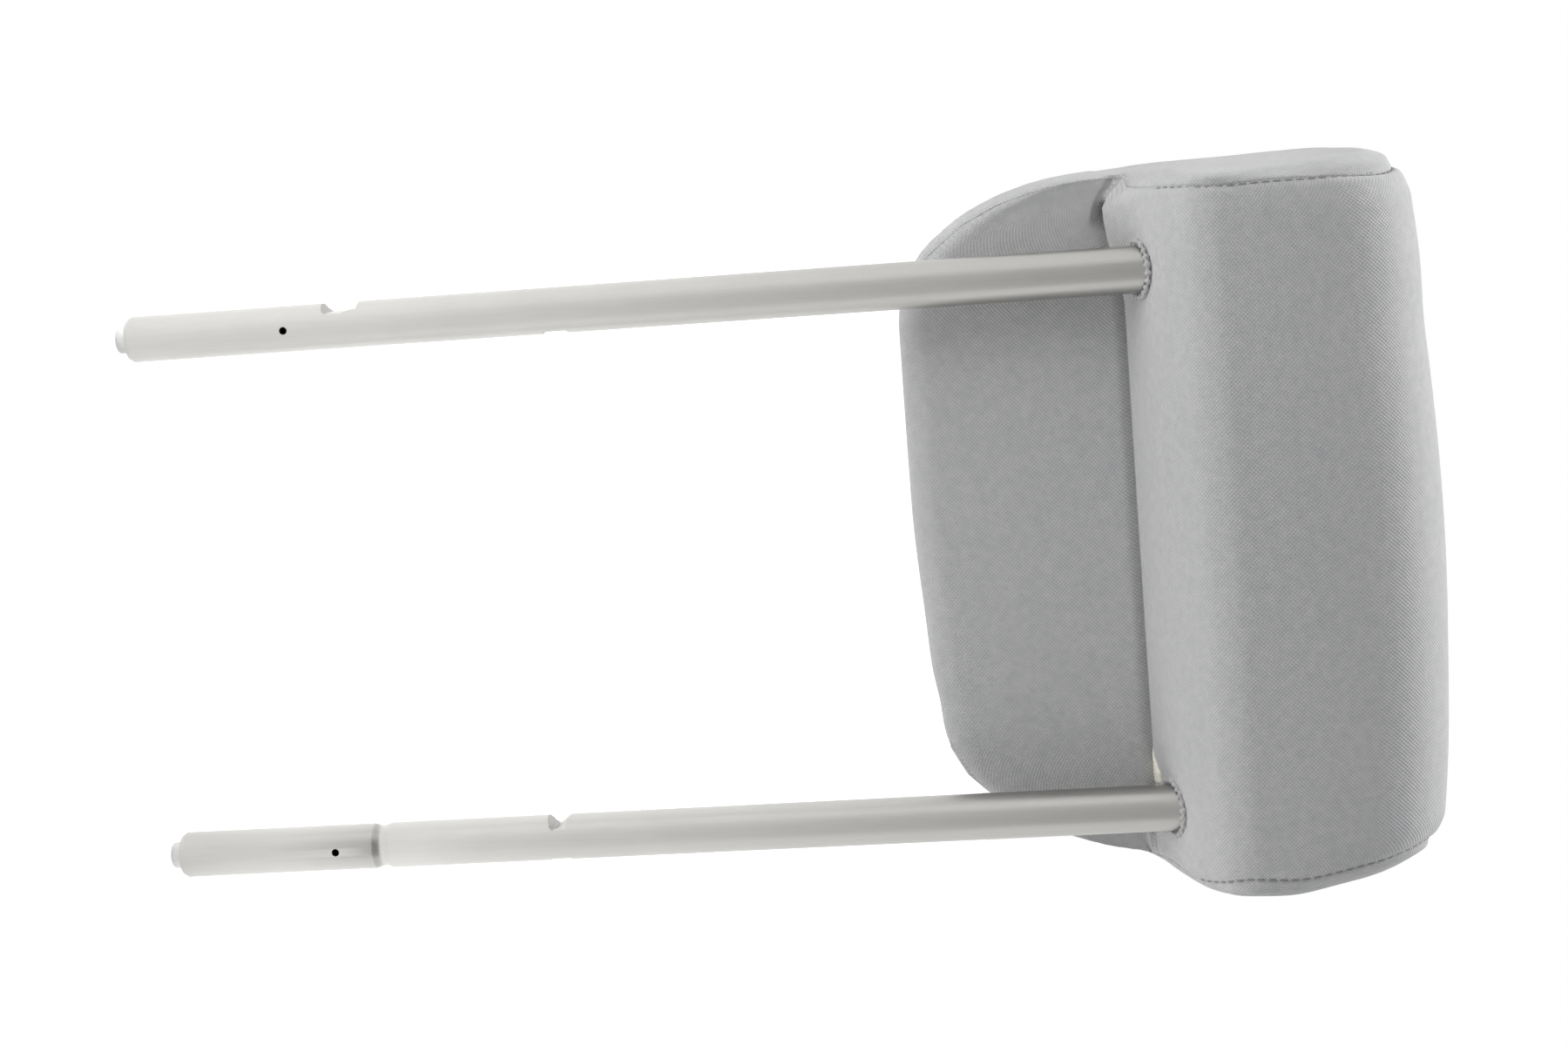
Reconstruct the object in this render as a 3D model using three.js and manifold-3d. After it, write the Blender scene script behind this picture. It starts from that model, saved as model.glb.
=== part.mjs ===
// Car headrest: a bent steel tube carries a moulded carrier, a foam pad and a sewn cover.
// Millimetres, +Z up along the posts, +X to the occupant's left, the pad's front toward -Y.
// The origin lies midway between the open ends of the two posts.
import * as THREE from 'three';
import { mergeVertices } from 'three/addons/utils/BufferGeometryUtils.js';
import Module from 'manifold-3d';

const wasm = await Module();
wasm.setup();

const degrees = THREE.MathUtils.degToRad;

// Running clearances
const FIT_GAP = 0.3;
const SOFT_GAP = 0.4;
// How far a cutter reaches past the faces it cuts
const CUT_MARGIN = 1;

// Posts: one hollow tube, bent to a hoop
const POST_DIAMETER = 13;
const POST_WALL = 1.5;
const POST_SPACING = 150;
const HOOP_RISE = 42.4;
const HOOP_BEND_RADIUS = 34;
const POST_END_CHAMFER = 1.2;
const TUBE_SIDES = 24;
const BEND_STEPS = 7;

// Marks in the posts: where each starts above the tube end, how long and how deep it is
const GAUGE_HOLE = { height: 46.5, diameter: 2.2 };
const LATCH_NOTCH = { start: 57, length: 10.5, depth: 2.7, ramp: 1.4 };
const LEFT_DETENT = { start: 119, length: 7.5, depth: 0.8, ramp: 0.5 };
const STOP_NOTCH = { start: 108.2, length: 6.4, depth: 3.4, ramp: 1.6 };
const RIGHT_DETENT = { start: 108, length: 6.6, depth: 0.8, ramp: 0.5 };
const RING_GROOVE = { start: 57, length: 5, depth: 0.6 };

// End plugs
const PLUG_NUB_DIAMETER = 7.6;
const PLUG_NUB_LENGTH = 3.4;
const PLUG_TIP_ROUNDING = 1.2;
const PLUG_INSERT_LENGTH = 12;
const PLUG_LEAD_IN = 1;

// Pad seen from the side; the entry is where the posts' axes meet the underside
const ENTRY_HEIGHT = 285.6;
const UNDERSIDE_SLOPE = 28.5;
const UNDERSIDE_REACH = 41;
const LIP_CLEARANCE = 4.5;
const LIP_THICKNESS = 27;
const LIP_LENGTH = 63.3;
const LIP_STUB = 13;
const BACK_HEIGHT = 59.5;
const BACK_LEAN = 19;
const TOP_DEPTH = 82;
const TOP_SLOPE = 15;
const FRONT_BULGE = 5;
const FRONT_BULGE_RISE = 6.4;

// Roundings of the side profile's corners, with the number of facets in each
const ROUNDINGS = {
  lipBack: { radius: 9, steps: 4 },
  lipFront: { radius: 12, steps: 4 },
  front: { radius: 140, steps: 4 },
  topFront: { radius: 24, steps: 5 },
  topBack: { radius: 22, steps: 5 },
  undersideBack: { radius: 16, steps: 4 },
  crease: { radius: 3, steps: 2 },
};
const SHARPEST_ROUNDING = 0.5;
const ROUNDING_ROOM = 0.48;

// Pad seen from the front
const PAD_SHIFT = 3;
const LIP_DRIFT = 4;
const LIP_TUCK = 3;
const LIP_TUCK_RISE = 5;
const SEAM_HALF_WIDTH = 96.5;
const SIDE_CROWN = 4.8;
const LIP_CROWN_SHARE = 0.45;
const LIP_CORNER_WIDTH = 44;
const LIP_CORNER_HEIGHT = 66;
const LIP_SEAM_MARGIN = 3;
const TOP_CORNER_WIDTH = 9;
const TOP_CORNER_HEIGHT = 4.5;
const TOP_CROWN = 4.6;
const BACK_CROWN = 3;
const FRONT_CROWN = 4;
const BACK_NARROWING = 3.4;
const SIDE_ROUNDING = 12;
const SEAM_DIP = 1;
const SEAM_TURN = 50;
const CORNER_STATIONS = 6;
const SIDE_STATIONS = 4;
const SEAM_STEPS = 8;

// Cover
const COVER_THICKNESS = 1.8;
const FOAM_SIDE_EASE = 0.7;
const SEAM_GAP = 0.3;
const POST_HOLE_CLEARANCE = 0.6;
const SLIT_WIDTH = 2.2;
const STRIP_THICKNESS = 1.2;
const STRIP_DEPTH = 8;
const STRIP_SINK = 0.6;
const STRIP_END_MARGIN = 6;
const ENTRY_RING_THICKNESS = 1.6;

// Moulded carrier inside the foam
const CARRIER_SEAM_CLEARANCE = 7.5;
const CARRIER_BELOW_BAR = 26;
const CARRIER_ABOVE_BAR = 17;
const CARRIER_FRONT_DEPTH = 22;
const CARRIER_REAR_DEPTH = 15;
const CARRIER_CORNER_RADIUS = 10;
const CARRIER_EDGE_BEVEL = 3;
const CARRIER_WALL = 2.4;
const RIB_THICKNESS = 2;
const RIB_SPACING = 22;
const LEG_RIB_RISES = [8, 16];
const LEG_RIB_REACH = 11;

// Screws through the carrier, one pair beside the bends and one pair between the posts
const SCREW_SHANK_DIAMETER = 3.2;
const SCREW_HEAD_DIAMETER = 7;
const SCREW_HEAD_HEIGHT = 2.4;
const SCREW_LENGTH = 22;
const SCREW_BOSS_WALL = 1.9;
const UPPER_SCREW_INSET = 9;
const LOWER_SCREW_SPACING = 96;
const LOWER_SCREW_RISE = 8;

const POST_RADIUS = POST_DIAMETER / 2;
const POST_BORE_RADIUS = POST_RADIUS - POST_WALL;
const POST_X = POST_SPACING / 2;
const LIP_BACK = POST_RADIUS + LIP_CLEARANCE;
const CREASE_HEIGHT = ENTRY_HEIGHT - LIP_BACK * Math.tan(degrees(UNDERSIDE_SLOPE));
const LIP_BOTTOM_HEIGHT = CREASE_HEIGHT - LIP_LENGTH;
const FRONT_BULGE_HEIGHT = ENTRY_HEIGHT + FRONT_BULGE_RISE;
const HOOP_HEIGHT = ENTRY_HEIGHT + HOOP_RISE;
const CARRIER_HALF_WIDTH = SEAM_HALF_WIDTH - CARRIER_SEAM_CLEARANCE;
const CARRIER_BOTTOM_HEIGHT = HOOP_HEIGHT - CARRIER_BELOW_BAR;
const CARRIER_TOP_HEIGHT = HOOP_HEIGHT + CARRIER_ABOVE_BAR;
const PAD_HALF_WIDTH = SEAM_HALF_WIDTH + SIDE_CROWN;
const LIP_HALF_WIDTH = SEAM_HALF_WIDTH + SIDE_CROWN * LIP_CROWN_SHARE;

const materials = {
  steel: new THREE.MeshStandardMaterial({ color: 0xb4b1aa, roughness: 0.36, metalness: 1 }),
  screwSteel: new THREE.MeshStandardMaterial({ color: 0x8f9296, roughness: 0.4, metalness: 1 }),
  plug: new THREE.MeshStandardMaterial({ color: 0xeeebe2, roughness: 0.5, metalness: 0 }),
  strip: new THREE.MeshStandardMaterial({ color: 0xe9e6da, roughness: 0.5, metalness: 0 }),
  ring: new THREE.MeshStandardMaterial({ color: 0x6f7072, roughness: 0.55, metalness: 0 }),
  carrier: new THREE.MeshStandardMaterial({ color: 0x2c2d2f, roughness: 0.6, metalness: 0 }),
  foam: new THREE.MeshStandardMaterial({ color: 0xd9cfae, roughness: 0.95, metalness: 0 }),
  fabric: new THREE.MeshStandardMaterial({ color: 0x9c9c98, roughness: 0.95, metalness: 0 }),
};

function solidOf(geometry) {
  const bare = geometry.clone();
  bare.deleteAttribute('normal');
  bare.deleteAttribute('uv');
  const merged = mergeVertices(bare, 1e-4);
  return new wasm.Manifold(new wasm.Mesh({
    numProp: 3,
    vertProperties: Float32Array.from(merged.attributes.position.array),
    triVerts: Uint32Array.from(merged.index.array),
  }));
}

function geometryOf(solid) {
  const mesh = solid.getMesh();
  const geometry = new THREE.BufferGeometry();
  geometry.setAttribute('position', new THREE.BufferAttribute(mesh.vertProperties, 3));
  geometry.setIndex(new THREE.BufferAttribute(mesh.triVerts, 1));
  geometry.computeVertexNormals();
  return geometry;
}

function meshOf(name, solid, material) {
  const mesh = new THREE.Mesh(geometryOf(solid), material);
  mesh.name = name;
  return mesh;
}

function unite(solids) {
  return solids.reduce((sum, solid) => sum.add(solid));
}

function subtractAll(solid, cutters) {
  return cutters.reduce((rest, cutter) => rest.subtract(cutter), solid);
}

function box(xMin, xMax, yMin, yMax, zMin, zMax) {
  const geometry = new THREE.BoxGeometry(xMax - xMin, yMax - yMin, zMax - zMin);
  geometry.translate((xMin + xMax) / 2, (yMin + yMax) / 2, (zMin + zMax) / 2);
  return solidOf(geometry);
}

// A cylinder along +Z, standing on zMin
function post(x, radius, zMin, zMax, sides = TUBE_SIDES) {
  const geometry = new THREE.CylinderGeometry(radius, radius, zMax - zMin, sides);
  geometry.rotateX(Math.PI / 2);
  geometry.translate(x, 0, (zMin + zMax) / 2);
  return solidOf(geometry);
}

// A cylinder along +Y
function bar(x, z, radius, yMin, yMax, sides = 12) {
  const geometry = new THREE.CylinderGeometry(radius, radius, yMax - yMin, sides);
  geometry.translate(x, (yMin + yMax) / 2, z);
  return solidOf(geometry);
}

function shapeFrom(points) {
  return new THREE.Shape(points.map(([a, b]) => new THREE.Vector2(a, b)));
}

// A front-view shape in X and Z, extruded from yMin to yMax
function prismAlongY(shape, yMin, yMax, bevel = 0) {
  const geometry = new THREE.ExtrudeGeometry(shape, {
    depth: yMax - yMin - 2 * bevel,
    bevelEnabled: bevel > 0,
    bevelSize: bevel,
    bevelThickness: bevel,
    bevelOffset: -bevel,
    bevelSegments: 1,
    curveSegments: 4,
  });
  geometry.rotateX(Math.PI / 2);
  geometry.translate(0, yMax - bevel, 0);
  return solidOf(geometry);
}

// A side-view shape in forward distance and height, extruded from xMin to xMax
function prismAlongX(shape, xMin, xMax) {
  const geometry = new THREE.ExtrudeGeometry(shape, { depth: xMax - xMin, bevelEnabled: false });
  const forward = new THREE.Vector3(0, -1, 0);
  const up = new THREE.Vector3(0, 0, 1);
  const inward = new THREE.Vector3(-1, 0, 0);
  geometry.applyMatrix4(new THREE.Matrix4().makeBasis(forward, up, inward));
  geometry.translate(xMax, 0, 0);
  return solidOf(geometry);
}

// Centre line of the hoop: a leg, a bend, the crossbar, a bend and a leg.
// Steps are spent in the bends, because the straight stretches need none.
class HoopPath extends THREE.Curve {
  constructor() {
    super();
    this.bendCentreX = POST_X - HOOP_BEND_RADIUS;
    this.bendCentreZ = HOOP_HEIGHT - HOOP_BEND_RADIUS;
    this.steps = 2 * BEND_STEPS + 3;
  }

  getUtoTmapping(u) {
    return u;
  }

  bendPoint(side, turn) {
    const x = side * (this.bendCentreX + HOOP_BEND_RADIUS * Math.cos(turn));
    const z = this.bendCentreZ + HOOP_BEND_RADIUS * Math.sin(turn);
    return new THREE.Vector3(x, 0, z);
  }

  stretch(t) {
    const place = t * this.steps;
    const mirrored = place > this.steps / 2;
    return { side: mirrored ? -1 : 1, place: mirrored ? this.steps - place : place };
  }

  getPoint(t) {
    const { side, place } = this.stretch(t);
    if (place < 1) return new THREE.Vector3(side * POST_X, 0, place * this.bendCentreZ);
    const turn = Math.PI / 2 * Math.min((place - 1) / BEND_STEPS, 1);
    const point = this.bendPoint(side, turn);
    const along = Math.max(place - 1 - BEND_STEPS, 0);
    point.x -= side * along * 2 * this.bendCentreX;
    return point;
  }

  getTangent(t) {
    const { side, place } = this.stretch(t);
    const turn = Math.PI / 2 * THREE.MathUtils.clamp((place - 1) / BEND_STEPS, 0, 1);
    return new THREE.Vector3(-Math.sin(turn), 0, side * Math.cos(turn));
  }
}

function hoopSweep(radius) {
  const path = new HoopPath();
  const section = new THREE.Shape().absarc(0, 0, radius, 0, 2 * Math.PI);
  return solidOf(new THREE.ExtrudeGeometry(section, {
    steps: path.steps,
    curveSegments: TUBE_SIDES / 2,
    extrudePath: path,
  }));
}

// The space that a notch takes out of a post: a ramp on the tip side, then a flat floor.
// grow widens it by the tube wall, for the bore behind a pressed notch.
function notchBlank(postX, side, notch, floor, grow) {
  const deep = POST_RADIUS - notch.depth - grow;
  const open = POST_RADIUS + CUT_MARGIN;
  const rampRate = notch.ramp / notch.depth;
  const outline = shapeFrom([
    [postX + side * deep, notch.start + notch.ramp - grow],
    [postX + side * deep, notch.start + notch.ramp + floor + grow],
    [postX + side * open, notch.start + notch.length + grow],
    [postX + side * open, notch.start - grow - rampRate * (open - POST_RADIUS)],
  ]);
  return prismAlongY(outline, -POST_DIAMETER, POST_DIAMETER);
}

function grooveBlank(postX) {
  const start = RING_GROOVE.start;
  const inner = POST_RADIUS - RING_GROOVE.depth;
  const end = start + RING_GROOVE.length;
  const outer = post(postX, POST_RADIUS + CUT_MARGIN, start, end);
  return outer.subtract(post(postX, inner, start - CUT_MARGIN, end + CUT_MARGIN));
}

function chamferBlank(postX) {
  const inner = POST_RADIUS - POST_END_CHAMFER - CUT_MARGIN;
  const outer = POST_RADIUS + CUT_MARGIN;
  const profile = [
    new THREE.Vector2(inner, -CUT_MARGIN),
    new THREE.Vector2(outer, -CUT_MARGIN),
    new THREE.Vector2(outer, POST_END_CHAMFER + CUT_MARGIN),
    new THREE.Vector2(inner, -CUT_MARGIN),
  ];
  const geometry = new THREE.LatheGeometry(profile, TUBE_SIDES);
  geometry.rotateX(Math.PI / 2);
  geometry.translate(postX, 0, 0);
  return solidOf(geometry);
}

function gaugeHole(postX) {
  return bar(postX, GAUGE_HOLE.height, GAUGE_HOLE.diameter / 2, 0, POST_RADIUS + CUT_MARGIN, 16);
}

const flatFloor = (notch) => notch.length - notch.ramp;

function postHoop() {
  const marks = [
    [POST_X, 1, LATCH_NOTCH, flatFloor(LATCH_NOTCH)],
    [POST_X, -1, LEFT_DETENT, flatFloor(LEFT_DETENT) - LEFT_DETENT.ramp],
    [-POST_X, 1, STOP_NOTCH, 0],
    [-POST_X, -1, RIGHT_DETENT, flatFloor(RIGHT_DETENT) - RIGHT_DETENT.ramp],
  ];
  const pressed = marks.map((mark) => notchBlank(...mark, 0));
  const pressedInside = marks.map((mark) => notchBlank(...mark, POST_WALL));
  const bore = subtractAll(hoopSweep(POST_BORE_RADIUS), pressedInside);
  const cuts = [bore, ...pressed, grooveBlank(-POST_X)];
  for (const x of [POST_X, -POST_X]) cuts.push(chamferBlank(x), gaugeHole(x));
  return subtractAll(hoopSweep(POST_RADIUS), cuts);
}

function endPlug(postX) {
  const nub = PLUG_NUB_DIAMETER / 2;
  const insert = POST_BORE_RADIUS - FIT_GAP;
  const tipCurve = new THREE.EllipseCurve(nub - PLUG_TIP_ROUNDING, PLUG_TIP_ROUNDING - PLUG_NUB_LENGTH,
    PLUG_TIP_ROUNDING, PLUG_TIP_ROUNDING, -Math.PI / 2, 0);
  const profile = [
    new THREE.Vector2(0, -PLUG_NUB_LENGTH),
    ...tipCurve.getPoints(3),
    new THREE.Vector2(nub, FIT_GAP),
    new THREE.Vector2(insert, FIT_GAP),
    new THREE.Vector2(insert, PLUG_INSERT_LENGTH - PLUG_LEAD_IN),
    new THREE.Vector2(insert - PLUG_LEAD_IN, PLUG_INSERT_LENGTH),
    new THREE.Vector2(0, PLUG_INSERT_LENGTH),
  ];
  const geometry = new THREE.LatheGeometry(profile, 16);
  geometry.rotateX(Math.PI / 2);
  geometry.translate(postX, 0, 0);
  return solidOf(geometry);
}

// How far a rounded lower or upper corner, seen from the front, has left the straight edge at x
function cornerDrop(x, end, width, height) {
  const share = THREE.MathUtils.clamp((Math.abs(x) - end + width) / width, 0, 1);
  return height * (1 - Math.sqrt(1 - share * share));
}

// Corners of the pad's side profile at x, as forward distance and height, with their roundings
function profileCorners(x) {
  const crown = (Math.min(Math.abs(x), SEAM_HALF_WIDTH) / SEAM_HALF_WIDTH) ** 2;
  const slope = Math.tan(degrees(UNDERSIDE_SLOPE));
  const lipFront = LIP_BACK + LIP_THICKNESS;
  const lipRise = cornerDrop(x, LIP_HALF_WIDTH, LIP_CORNER_WIDTH, LIP_CORNER_HEIGHT);
  const lipBottom = Math.min(LIP_BOTTOM_HEIGHT + lipRise, CREASE_HEIGHT - LIP_STUB);
  const topDrop = TOP_CROWN * crown + cornerDrop(x, SEAM_HALF_WIDTH, TOP_CORNER_WIDTH, TOP_CORNER_HEIGHT);
  const backBottom = ENTRY_HEIGHT + UNDERSIDE_REACH * slope;
  const backTop = backBottom + BACK_HEIGHT;
  const backTopForward = BACK_HEIGHT * Math.tan(degrees(BACK_LEAN)) - UNDERSIDE_REACH;
  const topFront = backTopForward + TOP_DEPTH * Math.cos(degrees(TOP_SLOPE));
  const topFrontHeight = backTop - TOP_DEPTH * Math.sin(degrees(TOP_SLOPE));
  const frontShare = (FRONT_BULGE_HEIGHT - LIP_BOTTOM_HEIGHT) / (topFrontHeight - LIP_BOTTOM_HEIGHT);
  const frontMiddle = THREE.MathUtils.lerp(lipFront, topFront, frontShare) + FRONT_BULGE;
  const frontLow = THREE.MathUtils.lerp(lipFront, frontMiddle,
    (lipBottom - LIP_BOTTOM_HEIGHT) / (FRONT_BULGE_HEIGHT - LIP_BOTTOM_HEIGHT));
  const front = FRONT_CROWN * crown;
  const back = BACK_CROWN * crown;
  return [
    [LIP_BACK, lipBottom, ROUNDINGS.lipBack],
    [frontLow - front, lipBottom, ROUNDINGS.lipFront],
    [frontMiddle - front, FRONT_BULGE_HEIGHT, ROUNDINGS.front],
    [topFront - front, topFrontHeight - topDrop, ROUNDINGS.topFront],
    [backTopForward + back, backTop - topDrop, ROUNDINGS.topBack],
    [back - UNDERSIDE_REACH, backBottom, ROUNDINGS.undersideBack],
    [LIP_BACK, CREASE_HEIGHT, ROUNDINGS.crease],
  ].map(([forward, height, rounding]) => ({ at: new THREE.Vector2(forward, height), ...rounding }));
}

// Where two lines meet, each given by a point and a direction
function crossing(pointA, alongA, pointB, alongB) {
  const offset = pointB.clone().sub(pointA);
  return pointA.clone().addScaledVector(alongA, offset.cross(alongB) / alongA.cross(alongB));
}

// The outline moved inward and its corners rounded; outer corners lose radius, the inner one gains it
function profileOutline(corners, inset) {
  const count = corners.length;
  const along = corners.map(({ at }, i) => corners[(i + 1) % count].at.clone().sub(at).normalize());
  const moved = corners.map(({ at }, i) => at.clone()
    .add(new THREE.Vector2(-along[i].y, along[i].x).multiplyScalar(inset)));
  const tips = corners.map((corner, i) => {
    const before = (i + count - 1) % count;
    return crossing(moved[before], along[before], moved[i], along[i]);
  });
  return corners.flatMap((corner, i) => {
    const before = (i + count - 1) % count;
    const turn = Math.acos(THREE.MathUtils.clamp(along[before].dot(along[i]), -1, 1));
    const sign = Math.sign(along[before].cross(along[i]));
    const side = Math.min(tips[i].distanceTo(tips[before]), tips[i].distanceTo(tips[(i + 1) % count]));
    const wanted = Math.max(corner.radius - sign * inset, SHARPEST_ROUNDING);
    const radius = Math.min(wanted, ROUNDING_ROOM * side / Math.tan(turn / 2));
    const cut = radius * Math.tan(turn / 2);
    const start = tips[i].clone().addScaledVector(along[before], -cut);
    const centre = start.clone()
      .add(new THREE.Vector2(-along[before].y, along[before].x).multiplyScalar(sign * radius));
    return Array.from({ length: corner.steps + 1 }, (_, step) => start.clone()
      .rotateAround(centre, sign * turn * step / corner.steps));
  });
}

// Stations across the pad from the middle to one side, each with its own inward step.
// The last two before the seam dip toward it.
function padStations() {
  const cornerStart = LIP_HALF_WIDTH - LIP_CORNER_WIDTH;
  const stations = [{ x: cornerStart / 2, inset: 0 }];
  for (let step = 0; step <= CORNER_STATIONS; step += 1) {
    const x = cornerStart + (SEAM_HALF_WIDTH - cornerStart) * Math.sin(Math.PI / 2 * step / CORNER_STATIONS);
    stations.push({ x, inset: SEAM_DIP * Math.max(step + 2 - CORNER_STATIONS, 0) / 2 });
  }
  for (let step = 1; step <= SIDE_STATIONS; step += 1) {
    const turn = Math.PI / 2 * step / SIDE_STATIONS;
    const x = SEAM_HALF_WIDTH + SIDE_CROWN * Math.sin(turn);
    stations.push({ x, inset: SEAM_DIP + (SIDE_ROUNDING - SEAM_DIP) * (1 - Math.cos(turn)) });
  }
  return stations;
}

// The pad's sides draw in behind the lip, and the lip's own sides swell less than the block's,
// the right one being tucked in.
// The whole pad sits a little to the left of the posts, and the lip's tip drifts further.
function drape(solid) {
  const geometry = geometryOf(solid);
  const place = geometry.attributes.position;
  const reach = LIP_BACK + UNDERSIDE_REACH;
  for (let i = 0; i < place.count; i += 1) {
    const x = place.getX(i);
    const behind = Math.max(0, LIP_BACK + place.getY(i)) / reach;
    const hang = Math.max(0, CREASE_HEIGHT - place.getZ(i)) / LIP_LENGTH;
    const below = THREE.MathUtils.smoothstep(CREASE_HEIGHT - place.getZ(i), -LIP_STUB, LIP_STUB);
    const swell = Math.max(0, Math.abs(x) - SEAM_HALF_WIDTH) * (1 - LIP_CROWN_SHARE) * below;
    const tucked = x < 0 ? LIP_TUCK * THREE.MathUtils.clamp(hang * LIP_LENGTH / LIP_TUCK_RISE, 0, 1) : 0;
    const tuck = tucked + BACK_NARROWING * behind;
    const narrowed = (Math.abs(x) - swell) * (1 - tuck / SEAM_HALF_WIDTH);
    place.setX(i, Math.sign(x) * narrowed + PAD_SHIFT + LIP_DRIFT * hang);
  }
  return solidOf(geometry);
}

// The whole pad as one closed skin, moved inward by a distance
function padSolid(inward) {
  const half = padStations();
  const left = half.map(({ x, inset }) => ({ x: -x, inset })).reverse();
  const stations = [...left, { x: 0, inset: 0 }, ...half];
  const scale = (PAD_HALF_WIDTH - inward) / PAD_HALF_WIDTH;
  const rings = stations.map(({ x, inset }) => profileOutline(profileCorners(x), inset + inward));
  const points = rings.flatMap((ring, i) => ring
    .flatMap((point) => [stations[i].x * scale, -point.x, point.y]));
  const size = rings[0].length;
  const faces = [];
  for (let i = 0; i < rings.length - 1; i += 1) {
    for (let j = 0; j < size; j += 1) {
      const next = (j + 1) % size;
      const corner = [i * size + j, i * size + next, (i + 1) * size + next, (i + 1) * size + j];
      faces.push(corner[0], corner[2], corner[1], corner[0], corner[3], corner[2]);
    }
  }
  const last = (rings.length - 1) * size;
  for (const [a, b, c] of THREE.ShapeUtils.triangulateShape(rings[0], [])) faces.push(a, b, c);
  for (const [a, b, c] of THREE.ShapeUtils.triangulateShape(rings[rings.length - 1], [])) {
    faces.push(last + c, last + b, last + a);
  }
  const geometry = new THREE.BufferGeometry();
  geometry.setAttribute('position', new THREE.Float32BufferAttribute(points, 3));
  geometry.setIndex(faces);
  return solidOf(geometry);
}

// Everything outside the side seam, seen from the front: straight down, then round the lip's corner
function seamRegion(side, gap) {
  const edge = SEAM_HALF_WIDTH - gap;
  const centreX = LIP_HALF_WIDTH - LIP_CORNER_WIDTH;
  const centreZ = LIP_BOTTOM_HEIGHT + LIP_CORNER_HEIGHT;
  const height = LIP_CORNER_HEIGHT - LIP_SEAM_MARGIN - gap;
  const turn = -degrees(SEAM_TURN);
  const corner = new THREE.EllipseCurve(centreX, centreZ, edge - centreX, height, 0, turn, true);
  const arc = corner.getPoints(SEAM_STEPS);
  const below = LIP_BOTTOM_HEIGHT - LIP_CORNER_HEIGHT;
  const above = ENTRY_HEIGHT + 2 * BACK_HEIGHT;
  const outline = [
    [edge, above],
    ...arc.map((point) => [point.x, point.y]),
    [arc[SEAM_STEPS].x, below],
    [2 * PAD_HALF_WIDTH, below],
    [2 * PAD_HALF_WIDTH, above],
  ].map(([x, z]) => [side * x, z]);
  return prismAlongY(shapeFrom(outline), -2 * TOP_DEPTH, 2 * TOP_DEPTH);
}

// A side-view shape in the crease's own axes: into the foam, and across the slit
function creasePrism(points, halfLength) {
  const crease = new THREE.Vector2(LIP_BACK, CREASE_HEIGHT);
  const turn = degrees(UNDERSIDE_SLOPE);
  const placed = points.map(([into, across]) => {
    const local = new THREE.Vector2(into, across).rotateAround(new THREE.Vector2(), turn);
    const point = local.add(crease);
    return [point.x, point.y];
  });
  return prismAlongX(shapeFrom(placed), -halfLength, halfLength);
}

const STRIP_HALF_LENGTH = SEAM_HALF_WIDTH - STRIP_END_MARGIN;
const STRIP_START = COVER_THICKNESS + SOFT_GAP + STRIP_SINK;
const STRIP_END = STRIP_START + STRIP_DEPTH;
const STRIP_PITCH = STRIP_THICKNESS + FIT_GAP;

// The strip sewn to the underside: its leg runs into the foam and its hook turns back
function hookStrip() {
  const t = STRIP_THICKNESS;
  return creasePrism([
    [STRIP_START, STRIP_PITCH],
    [STRIP_END, STRIP_PITCH],
    [STRIP_END, -STRIP_PITCH - t],
    [STRIP_END - STRIP_DEPTH / 2, -STRIP_PITCH - t],
    [STRIP_END - STRIP_DEPTH / 2, -STRIP_PITCH],
    [STRIP_END - t, -STRIP_PITCH],
    [STRIP_END - t, STRIP_PITCH - t],
    [STRIP_START, STRIP_PITCH - t],
  ], STRIP_HALF_LENGTH);
}

// The strip sewn to the lip: its catch lies inside the hook
function catchStrip() {
  const t = STRIP_THICKNESS;
  const foot = STRIP_END - STRIP_DEPTH / 2 - FIT_GAP;
  const leg = -2 * STRIP_PITCH - t;
  return creasePrism([
    [STRIP_START, leg],
    [foot, leg],
    [foot, -STRIP_PITCH + FIT_GAP],
    [STRIP_END - t - FIT_GAP, -STRIP_PITCH + FIT_GAP],
    [STRIP_END - t - FIT_GAP, STRIP_PITCH - t - FIT_GAP],
    [foot - t, STRIP_PITCH - t - FIT_GAP],
    [foot - t, leg + t],
    [STRIP_START, leg + t],
  ], STRIP_HALF_LENGTH);
}

function closureGroove() {
  const side = SOFT_GAP + STRIP_PITCH;
  return creasePrism([
    [-CUT_MARGIN, side],
    [STRIP_END + SOFT_GAP, side],
    [STRIP_END + SOFT_GAP, -side - STRIP_PITCH - STRIP_THICKNESS],
    [-CUT_MARGIN, -side - STRIP_PITCH - STRIP_THICKNESS],
  ], STRIP_HALF_LENGTH + LIP_TUCK + SOFT_GAP);
}

function closureSlit() {
  const reach = 4 * COVER_THICKNESS;
  return creasePrism([
    [-reach, SLIT_WIDTH / 2],
    [reach, SLIT_WIDTH / 2],
    [reach, -SLIT_WIDTH / 2],
    [-reach, -SLIT_WIDTH / 2],
  ], PAD_HALF_WIDTH);
}

function coverPanels() {
  const skin = padSolid(0).subtract(padSolid(COVER_THICKNESS));
  const main = subtractAll(skin, [seamRegion(1, SEAM_GAP), seamRegion(-1, SEAM_GAP), closureSlit()]);
  return {
    main: drape(main).subtract(hoopSweep(POST_RADIUS + POST_HOLE_CLEARANCE)),
    left: drape(skin.intersect(seamRegion(1, 0))),
    right: drape(skin.intersect(seamRegion(-1, 0))),
  };
}

function foamPad() {
  const groove = closureGroove();
  const narrowing = 1 - FOAM_SIDE_EASE / PAD_HALF_WIDTH;
  const moulded = padSolid(COVER_THICKNESS + SOFT_GAP).scale([narrowing, 1, 1]);
  const block = drape(moulded.subtract(groove));
  return subtractAll(block, [carrierBlank(SOFT_GAP), hoopSweep(POST_RADIUS + POST_HOLE_CLEARANCE)]);
}

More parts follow.
